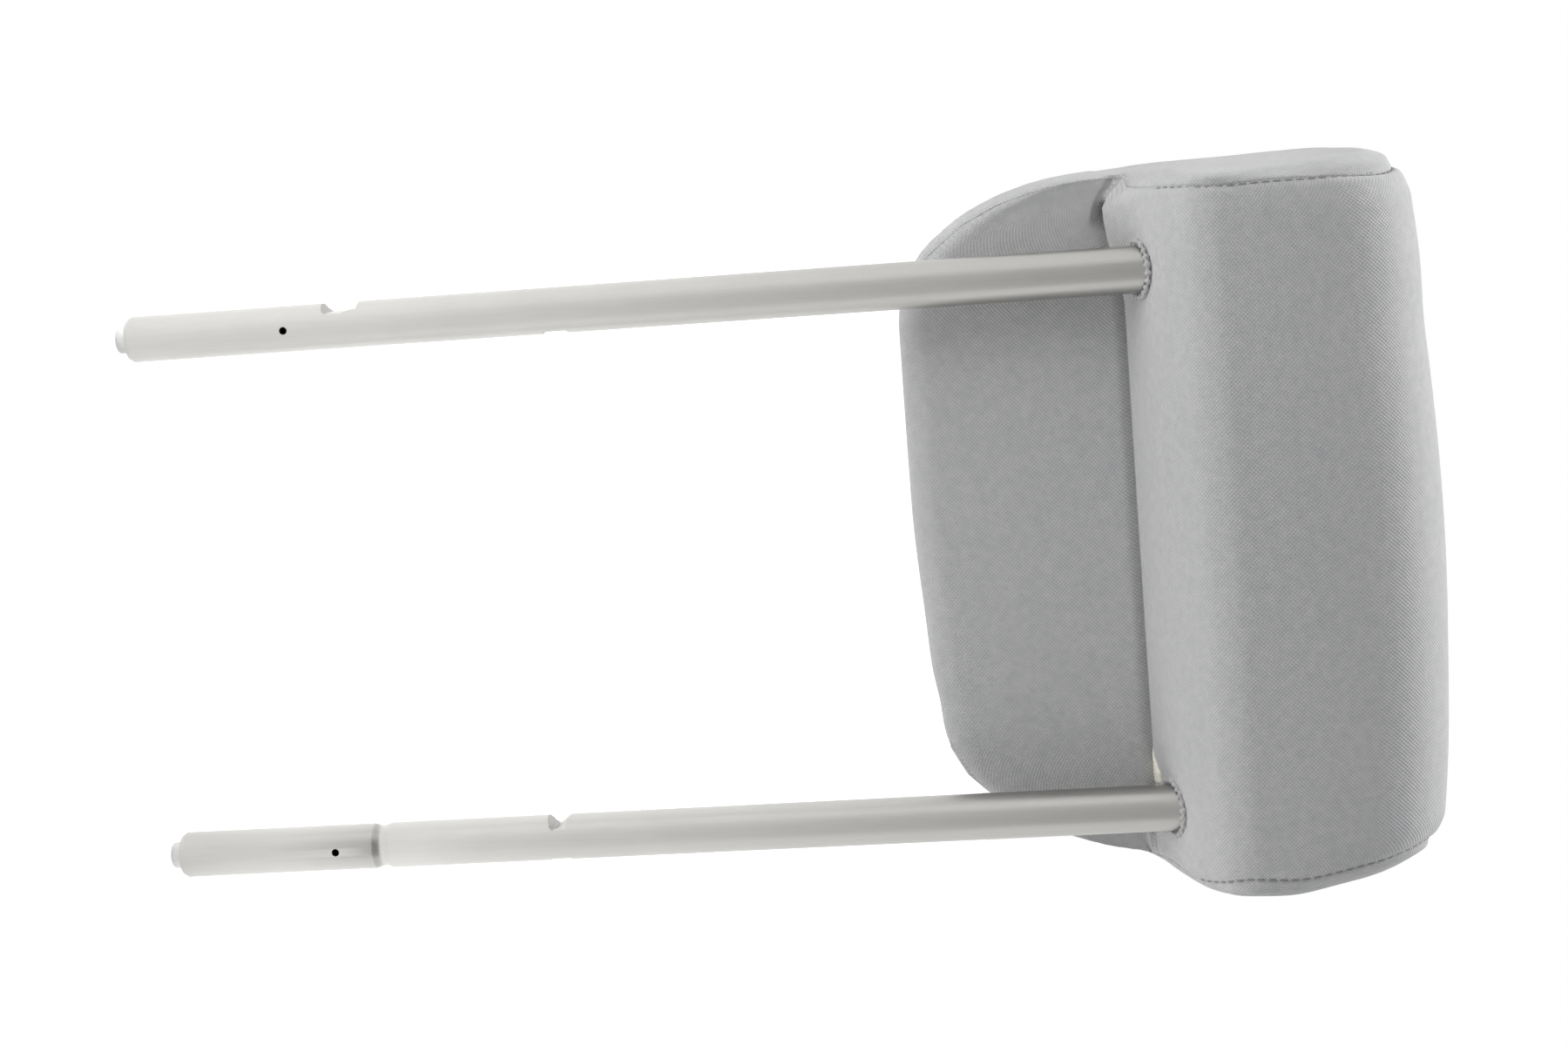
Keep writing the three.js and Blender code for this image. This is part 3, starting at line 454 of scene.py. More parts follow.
class Pad:
    """The cover's surface: a grid from seam to seam round the whole profile."""

    def __init__(self):
        wide = np.linspace(0, SEAM_HALF_WIDTH + 0.5, 600)
        self.table, self.crease = profile_table(wide)
        self.wide = wide
        middle = self.table[0]
        length = arc_length(closed(middle))
        self.round = length[-1]
        place = length[:-1] - length[self.crease]
        self.place = (place + self.round / 2) % self.round - self.round / 2
        tips = profile_corners(np.zeros(1))[0]
        self.corner_places = [self.place[np.argmin(np.linalg.norm(middle - tip, axis=1))] for tip in tips]
        self.shares = main_shares()
        self.from_seam = (1 - np.abs(self.shares))[:, None] * SEAM_HALF_WIDTH
        self.base = self.surface()

    def seam_jog(self, side):
        """How far inboard the seam steps on the underside and back, by the sample round the profile."""
        behind = -self.place
        if side > 0:
            end = smooth(behind, SEAM_JOG_RISE, SEAM_JOG_LENGTH)
            return SEAM_JOG * smooth(behind, 0, SEAM_JOG_RISE) * (1 - end)
        end = smooth(behind, *RIGHT_INSET_END)
        return RIGHT_SEAM_INSET * smooth(behind, *RIGHT_INSET_START) * (1 - end)

    def surface(self):
        """The grid of points before draping, with each row at its share of the way to the seam."""
        left, right = self.seam_jog(1), self.seam_jog(-1)
        columns = []
        for j in range(self.table.shape[1]):
            forward, height = self.table[:, j, 0], self.table[:, j, 1]
            x = np.zeros(len(self.shares))
            for half, inboard in ((self.shares >= 0, left[j]), (self.shares < 0, right[j])):
                share = np.maximum.accumulate(self.wide / (seam_x(height) - inboard)) + self.wide * 1e-9
                x[half] = np.interp(np.abs(self.shares[half]), share, self.wide)
            y = -np.interp(x, self.wide, forward)
            z = np.interp(x, self.wide, height)
            columns.append(np.stack([x * np.sign(self.shares), y, z], 1))
        return np.stack(columns, 1)

    def coarse(self):
        """Rows and columns for the cloth, evenly apart, with the crease and both seams kept."""
        rows = spaced(self.shares * SEAM_HALF_WIDTH)
        count = len(self.place)
        from_crease = np.roll(np.arange(count), -self.crease)
        columns = from_crease[spaced((self.place[from_crease] + self.round) % self.round)]
        return rows, np.sort(columns)

    def blown_up(self, points):
        """The cover's movement when it is blown up between seams, crease and posts."""
        rows, columns = self.coarse()
        some = points[np.ix_(rows, columns)]
        pinned = np.zeros(some.shape[:2], bool)
        pinned[0] = pinned[-1] = True
        pinned[:, columns == self.crease] = True
        for side in SIDE_NAMES:
            near = np.hypot(some[..., 0] - side * POST_X, some[..., 1]) < POST_RADIUS + POST_PIN_MARGIN
            low, high = POST_PIN_HEIGHTS
            pinned |= near & (some[..., 2] < high) & (some[..., 2] > low)
        moved = cloth_movement(some, pinned, wrap=True)
        period = len(self.place)
        columns = np.concatenate([columns - period, columns, columns + period])
        return spread(np.tile(moved, (1, 3, 1)), self.shares[rows], columns, self.shares, np.arange(period))

    def finished(self):
        """The blown up surface with its dips, seam grooves, crease fold, slot and post dimples."""
        points = drape(self.base)
        points = points + grid_normals(points) * self.crowns()[None, :, None] + self.blown_up(points)
        normal = grid_normals(points)
        x = points[..., 0]
        points = points - normal * (self.sewn_depth() + self.dimples(points))[..., None]
        bend = np.interp(x, *zip(*CREASE_BEND), left=0) * bump(self.place, 0, CREASE_BEND_REACH)[None, :]
        points[..., 2] -= bend * smooth(self.from_seam, *CREASE_BEND_SEAM_SPAN)
        slope = math.radians(UNDERSIDE_SLOPE)
        inward = np.array([0, -(1 + math.sin(slope)), math.cos(slope)])
        inward /= np.linalg.norm(inward)
        return points + self.fold_depth(x)[..., None] * inward

    def sewn_depth(self):
        """How deep the cover is drawn in beside and at its seams."""
        dip = SEAM_DIP * (1 - smooth(self.from_seam, 0, SEAM_DIP_REACH))
        groove = SEAM_GROOVE_DEPTH * np.exp(-((self.from_seam / SEAM_GROOVE_WIDTH) ** 2))
        past_lip = smooth(self.place, LIP_LENGTH, LIP_LENGTH + LIP_SEAM_END)
        on_lip = smooth(self.place, 0, LIP_SEAM_START) * (1 - past_lip)
        return (dip + groove) * (1 - LIP_SEAM_EASE * on_lip)[None, :]

    def fold_depth(self, x):
        """How deep the cover is folded in at the crease, with the slot and the filled right end."""
        slot = bump(x, SLOT_PLACE + PAD_SHIFT, SLOT_HALF_LENGTH)
        filled = smooth(-x, *CREASE_FOLD_RIGHT_END)
        open_fold = CREASE_FOLD_DEPTH * (1 - filled) * (1 - smooth(x, *CREASE_FOLD_LEFT_END))
        depth = (open_fold + SLOT_DEPTH * slot) * smooth(self.from_seam, *CREASE_FOLD_SEAM_SPAN)
        place = self.place[None, :]
        lip_width = CREASE_FOLD_LIP_WIDTH + SLOT_LIP_WIDTH * slot
        fold = depth * np.exp(-((place / np.where(place > 0, lip_width, CREASE_FOLD_BLOCK_WIDTH)) ** 2))
        return fold - CREASE_END_FILL * filled * bump(place, 0, CREASE_END_FILL_REACH)

    def crowns(self):
        """Convexity of the back and the underside, by the sample round the profile."""
        top, low = self.corner_places[TOP_CORNER], self.corner_places[UNDERSIDE_CORNER]
        out = np.zeros(len(self.place))
        for first, last, height in ((top, low, BACK_BULGE), (low, 0, UNDERSIDE_BULGE)):
            t = np.clip((self.place - first) / (last - first), 0, 1)
            out += height * np.sin(math.pi * t) ** BULGE_SHARPNESS
        return out

    def dimples(self, points):
        """How deep the posts' holes draw the underside in."""
        deep = np.zeros(points.shape[:2])
        near_underside = (self.place < 0) & (self.place > -UNDERSIDE_WINDOW)
        for side in SIDE_NAMES:
            away = np.hypot(points[..., 0] - side * POST_X, points[..., 1])
            ring = np.exp(-((np.maximum(0, away - POST_RADIUS) / ENTRY_DIMPLE_REACH) ** 2))
            deep += ENTRY_DIMPLE_DEPTH * ring * near_underside[None, :]
        return deep


def placed(name, data):
    """An object in the scene with this mesh, lamp or camera."""
    piece = bpy.data.objects.new(name, data)
    bpy.context.scene.collection.objects.link(piece)
    return piece


def mesh_piece(name, points, faces, uv=None):
    """A mesh from points in millimetres. uv holds one pair in millimetres for each point."""
    mesh = bpy.data.meshes.new(name)
    mesh.from_pydata([tuple(p) for p in np.asarray(points) * MM], [], [tuple(f) for f in faces])
    mesh.polygons.foreach_set("use_smooth", [True] * len(mesh.polygons))
    if uv is not None:
        layer = mesh.uv_layers.new(name="fabric")
        corner = np.empty(len(mesh.loops), int)
        mesh.loops.foreach_get("vertex_index", corner)
        layer.data.foreach_set("uv", (np.asarray(uv)[corner] * MM).astype(np.float32).ravel())
    mesh.update()
    return placed(name, mesh)


def grid_faces(rows, columns, wrap=False, flip=False):
    """Quads between the points of a grid; wrap closes its second axis, and flip turns the quads over."""
    faces = []
    for i in range(rows - 1):
        for j in range(columns if wrap else columns - 1):
            k = (j + 1) % columns
            face = [i * columns + j, i * columns + k, (i + 1) * columns + k, (i + 1) * columns + j]
            faces.append(face[::-1] if flip else face)
    return faces


def thicken(piece, thickness):
    """Give a fabric surface its thickness, inward."""
    modifier = piece.modifiers.new("cloth", "SOLIDIFY")
    modifier.thickness = thickness * MM
    modifier.offset = -1
    modifier.use_even_offset = False


def cloth_movement(points, pinned, wrap):
    """How far each point of a coarse grid moves in a cloth simulation with pressure behind it."""
    rows, columns = points.shape[:2]
    normal = grid_normals(points) if wrap else open_normals(points)
    free = np.where(pinned, 0, 1.0)
    start = points - normal * (CLOTH_EASE * free)[..., None]
    piece = mesh_piece("cloth_trial", start.reshape(-1, 3), grid_faces(rows, columns, wrap=wrap, flip=wrap))
    group = piece.vertex_groups.new(name="sewn")
    group.add([int(i) for i in np.flatnonzero(pinned.ravel())], 1.0, "REPLACE")
    cloth = piece.modifiers.new("cloth", "CLOTH")
    for key, value in CLOTH_SETTINGS.items():
        setattr(cloth.settings, key, value)
    cloth.settings.vertex_group_mass = "sewn"
    cloth.settings.effector_weights.gravity = 0
    cloth.point_cache.frame_start, cloth.point_cache.frame_end = 1, CLOTH_FRAMES
    for number in range(1, CLOTH_FRAMES + 1):
        bpy.context.scene.frame_set(number)
    seen = piece.evaluated_get(bpy.context.evaluated_depsgraph_get())
    mesh = seen.to_mesh()
    places = np.empty(3 * len(mesh.vertices), np.float32)
    mesh.vertices.foreach_get("co", places)
    seen.to_mesh_clear()
    moved = places.reshape(rows, columns, 3) / MM - start
    bpy.data.objects.remove(piece)
    bpy.context.scene.frame_set(1)
    outward = (moved * normal).sum(2) - CLOTH_EASE * free
    return np.clip(CLOTH_SHARE * outward, -CLOTH_CAP, CLOTH_CAP)[..., None] * normal


def resampled(points, shares):
    """Points at the given shares of a line's length, from 0 to 1."""
    length = arc_length(points)
    return np.stack([np.interp(shares * length[-1], length, values) for values in points.T], 1)


def edge_warp(count):
    """Shares from 0 to 1 that lie closer together at both ends."""
    t = np.linspace(0, 1, count)
    return t - 0.1 * np.sin(2 * np.pi * t)


def seam_corners(loop):
    """Where a seam loop turns: the lip's lower corners behind and in front, and both top corners."""
    depth, height = loop[:, 1], loop[:, 2]
    low_back = int(np.argmin(height + 0.4 * np.abs(depth + LIP_BACK)))
    low_front = int(np.argmin(height + 0.4 * np.abs(depth + LIP_BACK + LIP_THICKNESS)))
    top_front = int(np.argmax(height - depth))
    top_back = int(np.argmax(height + depth))
    return min(low_back, low_front), max(low_back, low_front), top_front, top_back


def spanned(loop):
    """A grid spanned inside a loop that starts at the crease, blended from its four sides."""
    low_back, low_front, top_front, top_back = seam_corners(loop)
    t, s = edge_warp(PANEL_ROWS), edge_warp(PANEL_COLUMNS)
    left = resampled(np.concatenate([loop[top_back:], loop[: low_back + 1]])[::-1], t)
    right = resampled(loop[low_front : top_front + 1], t)
    low = resampled(loop[low_back : low_front + 1], s)
    high = resampled(loop[top_front : top_back + 1][::-1], s)
    t, s = t[:, None, None], s[None, :, None]
    patch = (1 - s) * left[:, None] + s * right[:, None] + (1 - t) * low[None] + t * high[None]
    patch -= (1 - s) * (1 - t) * low[0] + s * (1 - t) * low[-1] + (1 - s) * t * high[0] + s * t * high[-1]
    return patch


def way_to_seam(patch, loop):
    """How far each point of a side panel's grid lies from its seam."""
    edge = resampled(closed(loop), np.linspace(0, 1, 2 * len(loop)))[:, :3]
    flat = patch[..., :3].reshape(-1, 3)
    away = np.linalg.norm(flat[:, None] - edge[None], axis=2).min(1).reshape(patch.shape[:2])
    away[0], away[-1], away[:, 0], away[:, -1] = 0, 0, 0, 0
    return away


def side_reach(patch, side):
    """How far a side panel's middle stands out from its seam, on the block and on the lip."""
    height = patch[..., 2]
    lip = smooth(CREASE_HEIGHT - height, -LIP_STUB, LIP_STUB)
    across, down = seam_normal(height)
    lip_reach = (LIP_HALF_WIDTH - SEAM_HALF_WIDTH) * across - LIP_SEAM_MARGIN * down
    if side > 0:
        share = LEFT_SIDE_CROWN_SHARE + LEFT_SIDE_CROWN_GAIN * smooth(height, *LEFT_SIDE_GAIN_HEIGHTS)
    else:
        share = RIGHT_SIDE_CROWN_SHARE - RIGHT_SIDE_CROWN_LOSS * smooth(height, *RIGHT_SIDE_LOSS_HEIGHTS)
        lip_reach = lip_reach * RIGHT_LIP_REACH_SHARE
    return (SIDE_CROWN * share + patch[..., 3]) * (1 - lip) + lip_reach * lip


def side_swelling(patch, away, side):
    """How far each point of a side panel stands out: rounded from the seam to the full reach."""
    height = patch[..., 2]
    under = smooth(patch[..., 1], *UNDERSIDE_SIDE_DEPTHS) * (1 - smooth(height, *UNDERSIDE_SIDE_HEIGHTS))
    top = smooth(height, *RIGHT_TOP_HEIGHTS) * (side < 0)
    rounding = SIDE_ROUNDING + (UNDERSIDE_SIDE_ROUNDING - SIDE_ROUNDING) * under
    rounding = rounding + (RIGHT_TOP_ROUNDING - SIDE_ROUNDING) * top
    roundness = SIDE_ROUNDNESS + (RIGHT_TOP_ROUNDNESS - SIDE_ROUNDNESS) * top
    rise = 1 - np.clip(away / rounding, 0, 1)
    dome = (1 - rise**roundness) ** (1 / roundness)
    return side_reach(patch, side) * dome + SIDE_SWELL * smooth(away, *SIDE_SWELL_SPAN)


def side_panel(pad, main_points, side):
    """A panel spanned inside one seam loop, swollen outward, its edge on the main panel's edge."""
    row = -1 if side > 0 else 0
    seam, jog = pad.base[row], pad.seam_jog(side)[:, None]
    loop = np.concatenate([seam, jog, main_points[row] - drape(seam)], 1)
    loop = np.roll(loop, -pad.crease, 0)
    patch = spanned(loop)
    away = way_to_seam(patch, loop)
    across, down = seam_normal(patch[..., 2])
    out = side_swelling(patch, away, side)
    points = patch[..., :3].copy()
    points[..., 0] += side * across * out
    points[..., 2] += down * out
    points = drape(points)
    points = points + side_movement(points)
    points = points + patch[..., 4:] * np.exp(-((away / SEAM_GROOVE_WIDTH) ** 2))[..., None]
    faces = grid_faces(PANEL_ROWS, PANEL_COLUMNS, flip=side > 0)
    return mesh_piece(f"cover_side_{SIDE_NAMES[side]}_cloth", points.reshape(-1, 3), faces, unrolled(points))


def unrolled(points):
    """Fabric coordinates measured along a grid's own rows and columns, out from its middle."""
    middle_row, middle_column = points.shape[0] // 2, points.shape[1] // 2
    along = np.linalg.norm(np.diff(points, axis=1), axis=2)
    up = np.linalg.norm(np.diff(points, axis=0), axis=2)
    u = np.pad(np.cumsum(along, 1), ((0, 0), (1, 0)))
    v = np.pad(np.cumsum(up, 0), ((1, 0), (0, 0)))
    u = u - u[:, middle_column : middle_column + 1] + points[:, middle_column : middle_column + 1, 1]
    v = v - v[middle_row : middle_row + 1] + points[middle_row : middle_row + 1, :, 2]
    return np.stack([u, v], 2).reshape(-1, 2)


def side_movement(points):
    """A side panel's movement when blown up inside its seam."""
    middle_row, middle_column = points.shape[0] // 2, points.shape[1] // 2
    rows = spaced(arc_length(points[:, middle_column]))
    columns = spaced(arc_length(points[middle_row]))
    some = points[np.ix_(rows, columns)]
    pinned = np.ones(some.shape[:2], bool)
    pinned[1:-1, 1:-1] = False
    moved = cloth_movement(some, pinned, wrap=False)
    return spread(moved, rows, columns, np.arange(points.shape[0]), np.arange(points.shape[1]))


def main_panel(pad):
    """The main panel and its grid of points; its fabric is measured round the profile from the crease."""
    points = pad.finished()
    rows, columns = points.shape[:2]
    from_crease = (pad.place % pad.round)[None, :]
    uv = np.stack(np.broadcast_arrays(points[..., 0], from_crease), 2).reshape(-1, 2)
    faces = grid_faces(rows, columns, wrap=True, flip=True)
    return mesh_piece("cover_main_cloth", points.reshape(-1, 3), faces, uv), points


def capsule(start, end, radius, sides=6):
    """Points and faces of a thread piece from start to end, its ends drawn in."""
    axis = end - start
    axis = axis / np.linalg.norm(axis)
    other = np.cross(axis, [0.3, 0.5, 0.8])
    other /= np.linalg.norm(other)
    third = np.cross(axis, other)
    angles = np.arange(sides) * 2 * np.pi / sides
    points = []
    for t, width in ((0, 0.35), (0.12, 0.85), (0.5, 1.0), (0.88, 0.85), (1, 0.35)):
        for a in angles:
            offset = (np.cos(a) * other + np.sin(a) * third) * radius * width
            points.append(start + (end - start) * t + offset)
    faces = grid_faces(5, sides, wrap=True)
    faces += [list(range(sides))[::-1], [4 * sides + k for k in range(sides)]]
    return points, faces


def seam_thread(main_points, side):
    """Stitches that show in the block's seam groove, one after another; the lip's stay inside."""
    seam, inner, proud = (-1, -4, LEFT_STITCH_PROUD) if side > 0 else (0, 3, RIGHT_STITCH_PROUD)
    seam, inner = closed(main_points[seam]), closed(main_points[inner])
    count = int(arc_length(seam)[-1] / STITCH_PITCH)
    shares = np.linspace(0, 1, count * THREAD_STEPS + 1)
    line = resampled(seam, shares) * (1 - proud) + resampled(inner, shares) * proud
    reach = int(THREAD_STEPS * STITCH_LENGTH / STITCH_PITCH)
    points, faces = [], []
    for first in range(0, count * THREAD_STEPS, THREAD_STEPS):
        if line[first][2] < CREASE_HEIGHT + STITCH_RISE:
            continue
        some, more = capsule(line[first], line[first + reach], THREAD_RADIUS)
        faces += [[v + len(points) for v in face] for face in more]
        points += some
    return mesh_piece(f"seam_thread_{SIDE_NAMES[side]}", points, faces)


def clip_depth(mark, z):
    """How deep a mark is pressed into its post at height z."""
    heights = [p[0] for p in mark]
    return np.interp(z, heights, [p[1] for p in mark], left=0, right=0)


def leg_heights(side):
    """Heights of a post's rings of points: more at the end, the groove and each corner of a mark."""
    marks = [LATCH_NOTCH, LEFT_DETENT] if side > 0 else [STOP_NOTCH, RIGHT_DETENT]
    heights = {0.0, POST_END_CHAMFER * 0.5, POST_END_CHAMFER, HOOP_HEIGHT - HOOP_BEND_RADIUS}
    heights.update(PLAIN_RING_HEIGHTS)
    for mark in marks:
        heights.update(height + d for height, _ in mark for d in MARK_ROUNDING)
    if side < 0:
        start, length = RING_GROOVE["start"], RING_GROOVE["length"]
        heights.update(start + length * k / 12 for k in range(13))
    return sorted(heights)


def leg_rings(side, radius, wall):
    """Rings of points up one leg, pressed in where the marks are."""
    plus, minus = (LATCH_NOTCH, LEFT_DETENT) if side > 0 else (STOP_NOTCH, RIGHT_DETENT)
    angle = np.arange(TUBE_SIDES) * 2 * np.pi / TUBE_SIDES
    rings = []
    for z in leg_heights(side):
        r = radius
        if wall == 0:
            r -= max(0, POST_END_CHAMFER - z) * 0.6
        inside = (z - RING_GROOVE["start"]) / RING_GROOVE["length"]
        if side < 0 and wall == 0 and 0 < inside < 1:
            r -= RING_GROOVE["depth"] * math.sin(math.pi * inside) ** 1.3
        high = POST_RADIUS - clip_depth(plus, z) - wall
        low = POST_RADIUS - clip_depth(minus, z) - wall
        x = np.clip(side * r * np.cos(angle), -low, high)
        y = r * np.sin(angle)
        rings.append(np.stack([x + side * POST_X, y, np.full_like(x, z)], 1))
    return rings


def hoop_rings(radius, wall):
    """Rings up the left leg, over the crossbar and down the right leg."""
    angle = np.arange(TUBE_SIDES) * 2 * np.pi / TUBE_SIDES
    centre_x, centre_z = POST_X - HOOP_BEND_RADIUS, HOOP_HEIGHT - HOOP_BEND_RADIUS

    def bend(side):
        turns = [math.pi / 2 * k / BEND_STEPS for k in range(1, BEND_STEPS + 1)]
        out = []
        for turn in turns:
            reach = HOOP_BEND_RADIUS + radius * np.cos(angle)
            x = side * (centre_x + reach * math.cos(turn))
            out.append(np.stack([x, radius * np.sin(angle), centre_z + reach * math.sin(turn)], 1))
        return out

    return leg_rings(1, radius, wall) + bend(1) + bend(-1)[::-1] + leg_rings(-1, radius, wall)[::-1]


def gauge_drill(side):
    """A round tool that reaches into the back of one post."""
    place = Matrix.Translation(Vector((side * POST_X, POST_RADIUS, GAUGE_HOLE_HEIGHT)) * MM)
    radius = GAUGE_HOLE_DIAMETER / 2 * MM
    drill = bmesh.new()
    bmesh.ops.create_cone(drill, cap_ends=True, segments=32, radius1=radius, radius2=radius,
                          depth=POST_RADIUS * 1.5 * MM, matrix=place @ Matrix.Rotation(math.pi / 2, 4, "X"))
    mesh = bpy.data.meshes.new("drill")
    drill.to_mesh(mesh)
    drill.free()
    return placed("drill", mesh)


def post_hoop():
    """The bent tube with its wall, its marks and a gauge hole in each leg."""
    outer = hoop_rings(POST_RADIUS, 0.0)
    inner = hoop_rings(POST_RADIUS - POST_WALL, POST_WALL)
    count = len(outer)
    last, shift = (count - 1) * TUBE_SIDES, count * TUBE_SIDES
    skin = grid_faces(count, TUBE_SIDES, wrap=True)
    faces = skin + [[v + shift for v in face[::-1]] for face in skin]
    for j in range(TUBE_SIDES):
        k = (j + 1) % TUBE_SIDES
        faces.append([k, j, j + shift, k + shift])
        faces.append([last + j, last + k, last + k + shift, last + j + shift])
    hoop = mesh_piece("post_hoop_steel", np.concatenate(outer + inner), faces)
    bpy.context.view_layer.objects.active = hoop
    for side in SIDE_NAMES:
        tool = gauge_drill(side)
        cut = hoop.modifiers.new("gauge_hole", "BOOLEAN")
        cut.object = tool
        cut.operation = "DIFFERENCE"
        cut.solver = "EXACT"
        bpy.ops.object.modifier_apply(modifier=cut.name)
        bpy.data.objects.remove(tool)
    shade_by_angle(hoop, TUBE_EDGE_ANGLE)
    return hoop


def shade_by_angle(piece, degrees):
    """Smooth shading, with edges sharper than this angle kept crisp."""
    mesh = piece.data
    limit = math.radians(degrees)
    form = bmesh.new()
    form.from_mesh(mesh)
    for edge in form.edges:
        edge.smooth = len(edge.link_faces) != 2 or edge.calc_face_angle(0) < limit
    for face in form.faces:
        face.smooth = True
    form.to_mesh(mesh)
    form.free()


def lathe(name, profile, centre_x, sides=64):
    """A closed turned piece about a vertical axis; the profile runs from axis to axis."""
    angle = np.arange(sides) * 2 * np.pi / sides
    rings = [np.stack([centre_x + r * np.cos(angle), r * np.sin(angle), np.full(sides, float(z))], 1)
             for r, z in profile]
    faces = grid_faces(len(rings), sides, wrap=True)
    last = (len(rings) - 1) * sides
    faces += [list(range(sides))[::-1], [last + k for k in range(sides)]]
    piece = mesh_piece(name, np.concatenate(rings), faces)
    shade_by_angle(piece, TURNED_EDGE_ANGLE)
    return piece


def end_plug(side):
    """A round nub with a rounded tip, a flange and the part that sits in the tube."""
    bore = POST_RADIUS - POST_WALL - PLUG_PLAY
    tip = [(PLUG_NUB_RADIUS - PLUG_TIP_ROUNDING * (1 - math.sin(a)),
            -PLUG_NUB_LENGTH + PLUG_TIP_ROUNDING * (1 - math.cos(a)))
           for a in np.linspace(0, math.pi / 2, 6)]
    profile = [(0.2, -PLUG_NUB_LENGTH), *tip, (PLUG_NUB_RADIUS, -0.35), (PLUG_NUB_RADIUS + 0.3, -0.1),
               (bore - 0.3, -0.05), (bore, 0.25), (bore, PLUG_INSERT_LENGTH), (0.2, PLUG_INSERT_LENGTH)]
    return lathe(f"end_plug_{SIDE_NAMES[side]}_cap", profile, side * POST_X)


def entry_ring(side, pad, points):
    """An overcast bead round the hole, laid on the underside: an oval ring with fine ridges."""
    turns, around = 240, 12
    slope = math.radians(UNDERSIDE_SLOPE)
    row = int(np.argmin(np.abs(points[:, pad.crease, 0] - side * (POST_X - POST_RADIUS))))
    under = (pad.place < 0) & (pad.place > -ENTRY_RING_WINDOW)
    depth, height = points[row, under, 1], points[row, under, 2]
    order = np.argsort(depth)
    big = POST_RADIUS + ENTRY_BEAD_GAP + ENTRY_BEAD
    rings = []
    for i in range(turns):
        a = 2 * math.pi * i / turns
        ridge = 0.3 * math.cos(ENTRY_BEAD_RIDGES * a + side)
        thick = ENTRY_BEAD * (0.8 + ridge + 0.12 * math.sin(5 * a + side))
        b = np.arange(around) * 2 * np.pi / around
        r = big + thick * np.cos(b)
        local = np.stack([r * math.cos(a), r * math.sin(a) / math.cos(slope), thick * np.sin(b)], 1)
        y = local[:, 1] * math.cos(slope) - local[:, 2] * math.sin(slope)
        z = local[:, 1] * math.sin(slope) + local[:, 2] * math.cos(slope)
        middle = big * math.sin(a)
        lift = np.interp(middle, depth[order], height[order]) - middle * math.tan(slope)
        rings.append(np.stack([local[:, 0] + side * POST_X, y, z + lift - ENTRY_BEAD_STAND], 1))
    faces = [[v % (turns * around) for v in face] for face in grid_faces(turns + 1, around, wrap=True)]
    return mesh_piece(f"entry_ring_{SIDE_NAMES[side]}_bead", np.concatenate(rings), faces)


def node_material(name):
    material = bpy.data.materials.new(name)
    material.use_nodes = True
    tree = material.node_tree
    return material, tree, tree.nodes["Principled BSDF"]


def new_node(tree, kind, **values):
    node = tree.nodes.new(kind)
    for key, value in values.items():
        setattr(node, key, value)
    return node


def math_node(tree, operation, a, b=None, c=None):
    node = new_node(tree, "ShaderNodeMath", operation=operation)
    for socket, value in zip(node.inputs, (a, b, c)):
        if value is None:
            continue
        if isinstance(value, (int, float)):
            socket.default_value = value
        else:
            tree.links.new(value, socket)
    return node.outputs[0]


def ramp(tree, factor, low, high):
    node = new_node(tree, "ShaderNodeValToRGB")
    node.color_ramp.elements[0].color = (*low, 1)
    node.color_ramp.elements[1].color = (*high, 1)
    tree.links.new(factor, node.inputs["Fac"])
    return node.outputs["Color"]


def object_place(tree):
    return new_node(tree, "ShaderNodeTexCoord").outputs["Object"]


def noise(tree, scale, detail, vector):
    node = new_node(tree, "ShaderNodeTexNoise")
    node.inputs["Scale"].default_value = scale
    node.inputs["Detail"].default_value = detail
    tree.links.new(vector, node.inputs["Vector"])
    return node.outputs["Fac"]


def bump_node(tree, shader, height, strength, distance):
    node = new_node(tree, "ShaderNodeBump")
    node.inputs["Strength"].default_value = strength
    node.inputs["Distance"].default_value = distance
    tree.links.new(height, node.inputs["Height"])
    tree.links.new(node.outputs["Normal"], shader.inputs["Normal"])


def multiply(tree, a, b):
    node = new_node(tree, "ShaderNodeMix", data_type="RGBA", blend_type="MULTIPLY")
    node.inputs["Factor"].default_value = 1.0
    tree.links.new(a, node.inputs["A"])
    tree.links.new(b, node.inputs["B"])
    return node.outputs["Result"]


def fabric_material():
    """Light grey seat fabric: a fine lattice weave of raised points, melange yarn and a soft sheen."""
    material, tree, shader = node_material("seat_fabric")
    uv = new_node(tree, "ShaderNodeUVMap", uv_map="fabric").outputs["UV"]
    parts = new_node(tree, "ShaderNodeSeparateXYZ")
    tree.links.new(uv, parts.inputs[0])
    turns = 2 * math.pi / (WEAVE_PITCH * MM)
    wave_u = math_node(tree, "SINE", math_node(tree, "MULTIPLY", parts.outputs[0], turns))
    wave_v = math_node(tree, "SINE", math_node(tree, "MULTIPLY", parts.outputs[1], turns))
    lattice = math_node(tree, "MULTIPLY_ADD", math_node(tree, "MULTIPLY", wave_u, wave_v), 0.5, 0.5)
    place = object_place(tree)
    fibre = noise(tree, 2600, 3, place)
    melange = noise(tree, 420, 3, place)
    patches = noise(tree, 22, 3, place)
    woven = ramp(tree, lattice, (0.40, 0.405, 0.41), (0.55, 0.553, 0.555))
    yarn = ramp(tree, melange, (0.84, 0.85, 0.87), (1.12, 1.10, 1.08))
    broad = ramp(tree, patches, (0.94, 0.945, 0.96), (1.04, 1.035, 1.02))
    colour = multiply(tree, multiply(tree, woven, yarn), broad)
    tree.links.new(colour, shader.inputs["Base Color"])
    height = math_node(tree, "ADD", lattice, math_node(tree, "MULTIPLY", fibre, 0.5))
    bump_node(tree, shader, height, 0.55, 0.0003)
    shader.inputs["Roughness"].default_value = 0.92
    shader.inputs["Specular IOR Level"].default_value = 0.2
    shader.inputs["Sheen Weight"].default_value = 0.25
    shader.inputs["Sheen Roughness"].default_value = 0.45
    return material


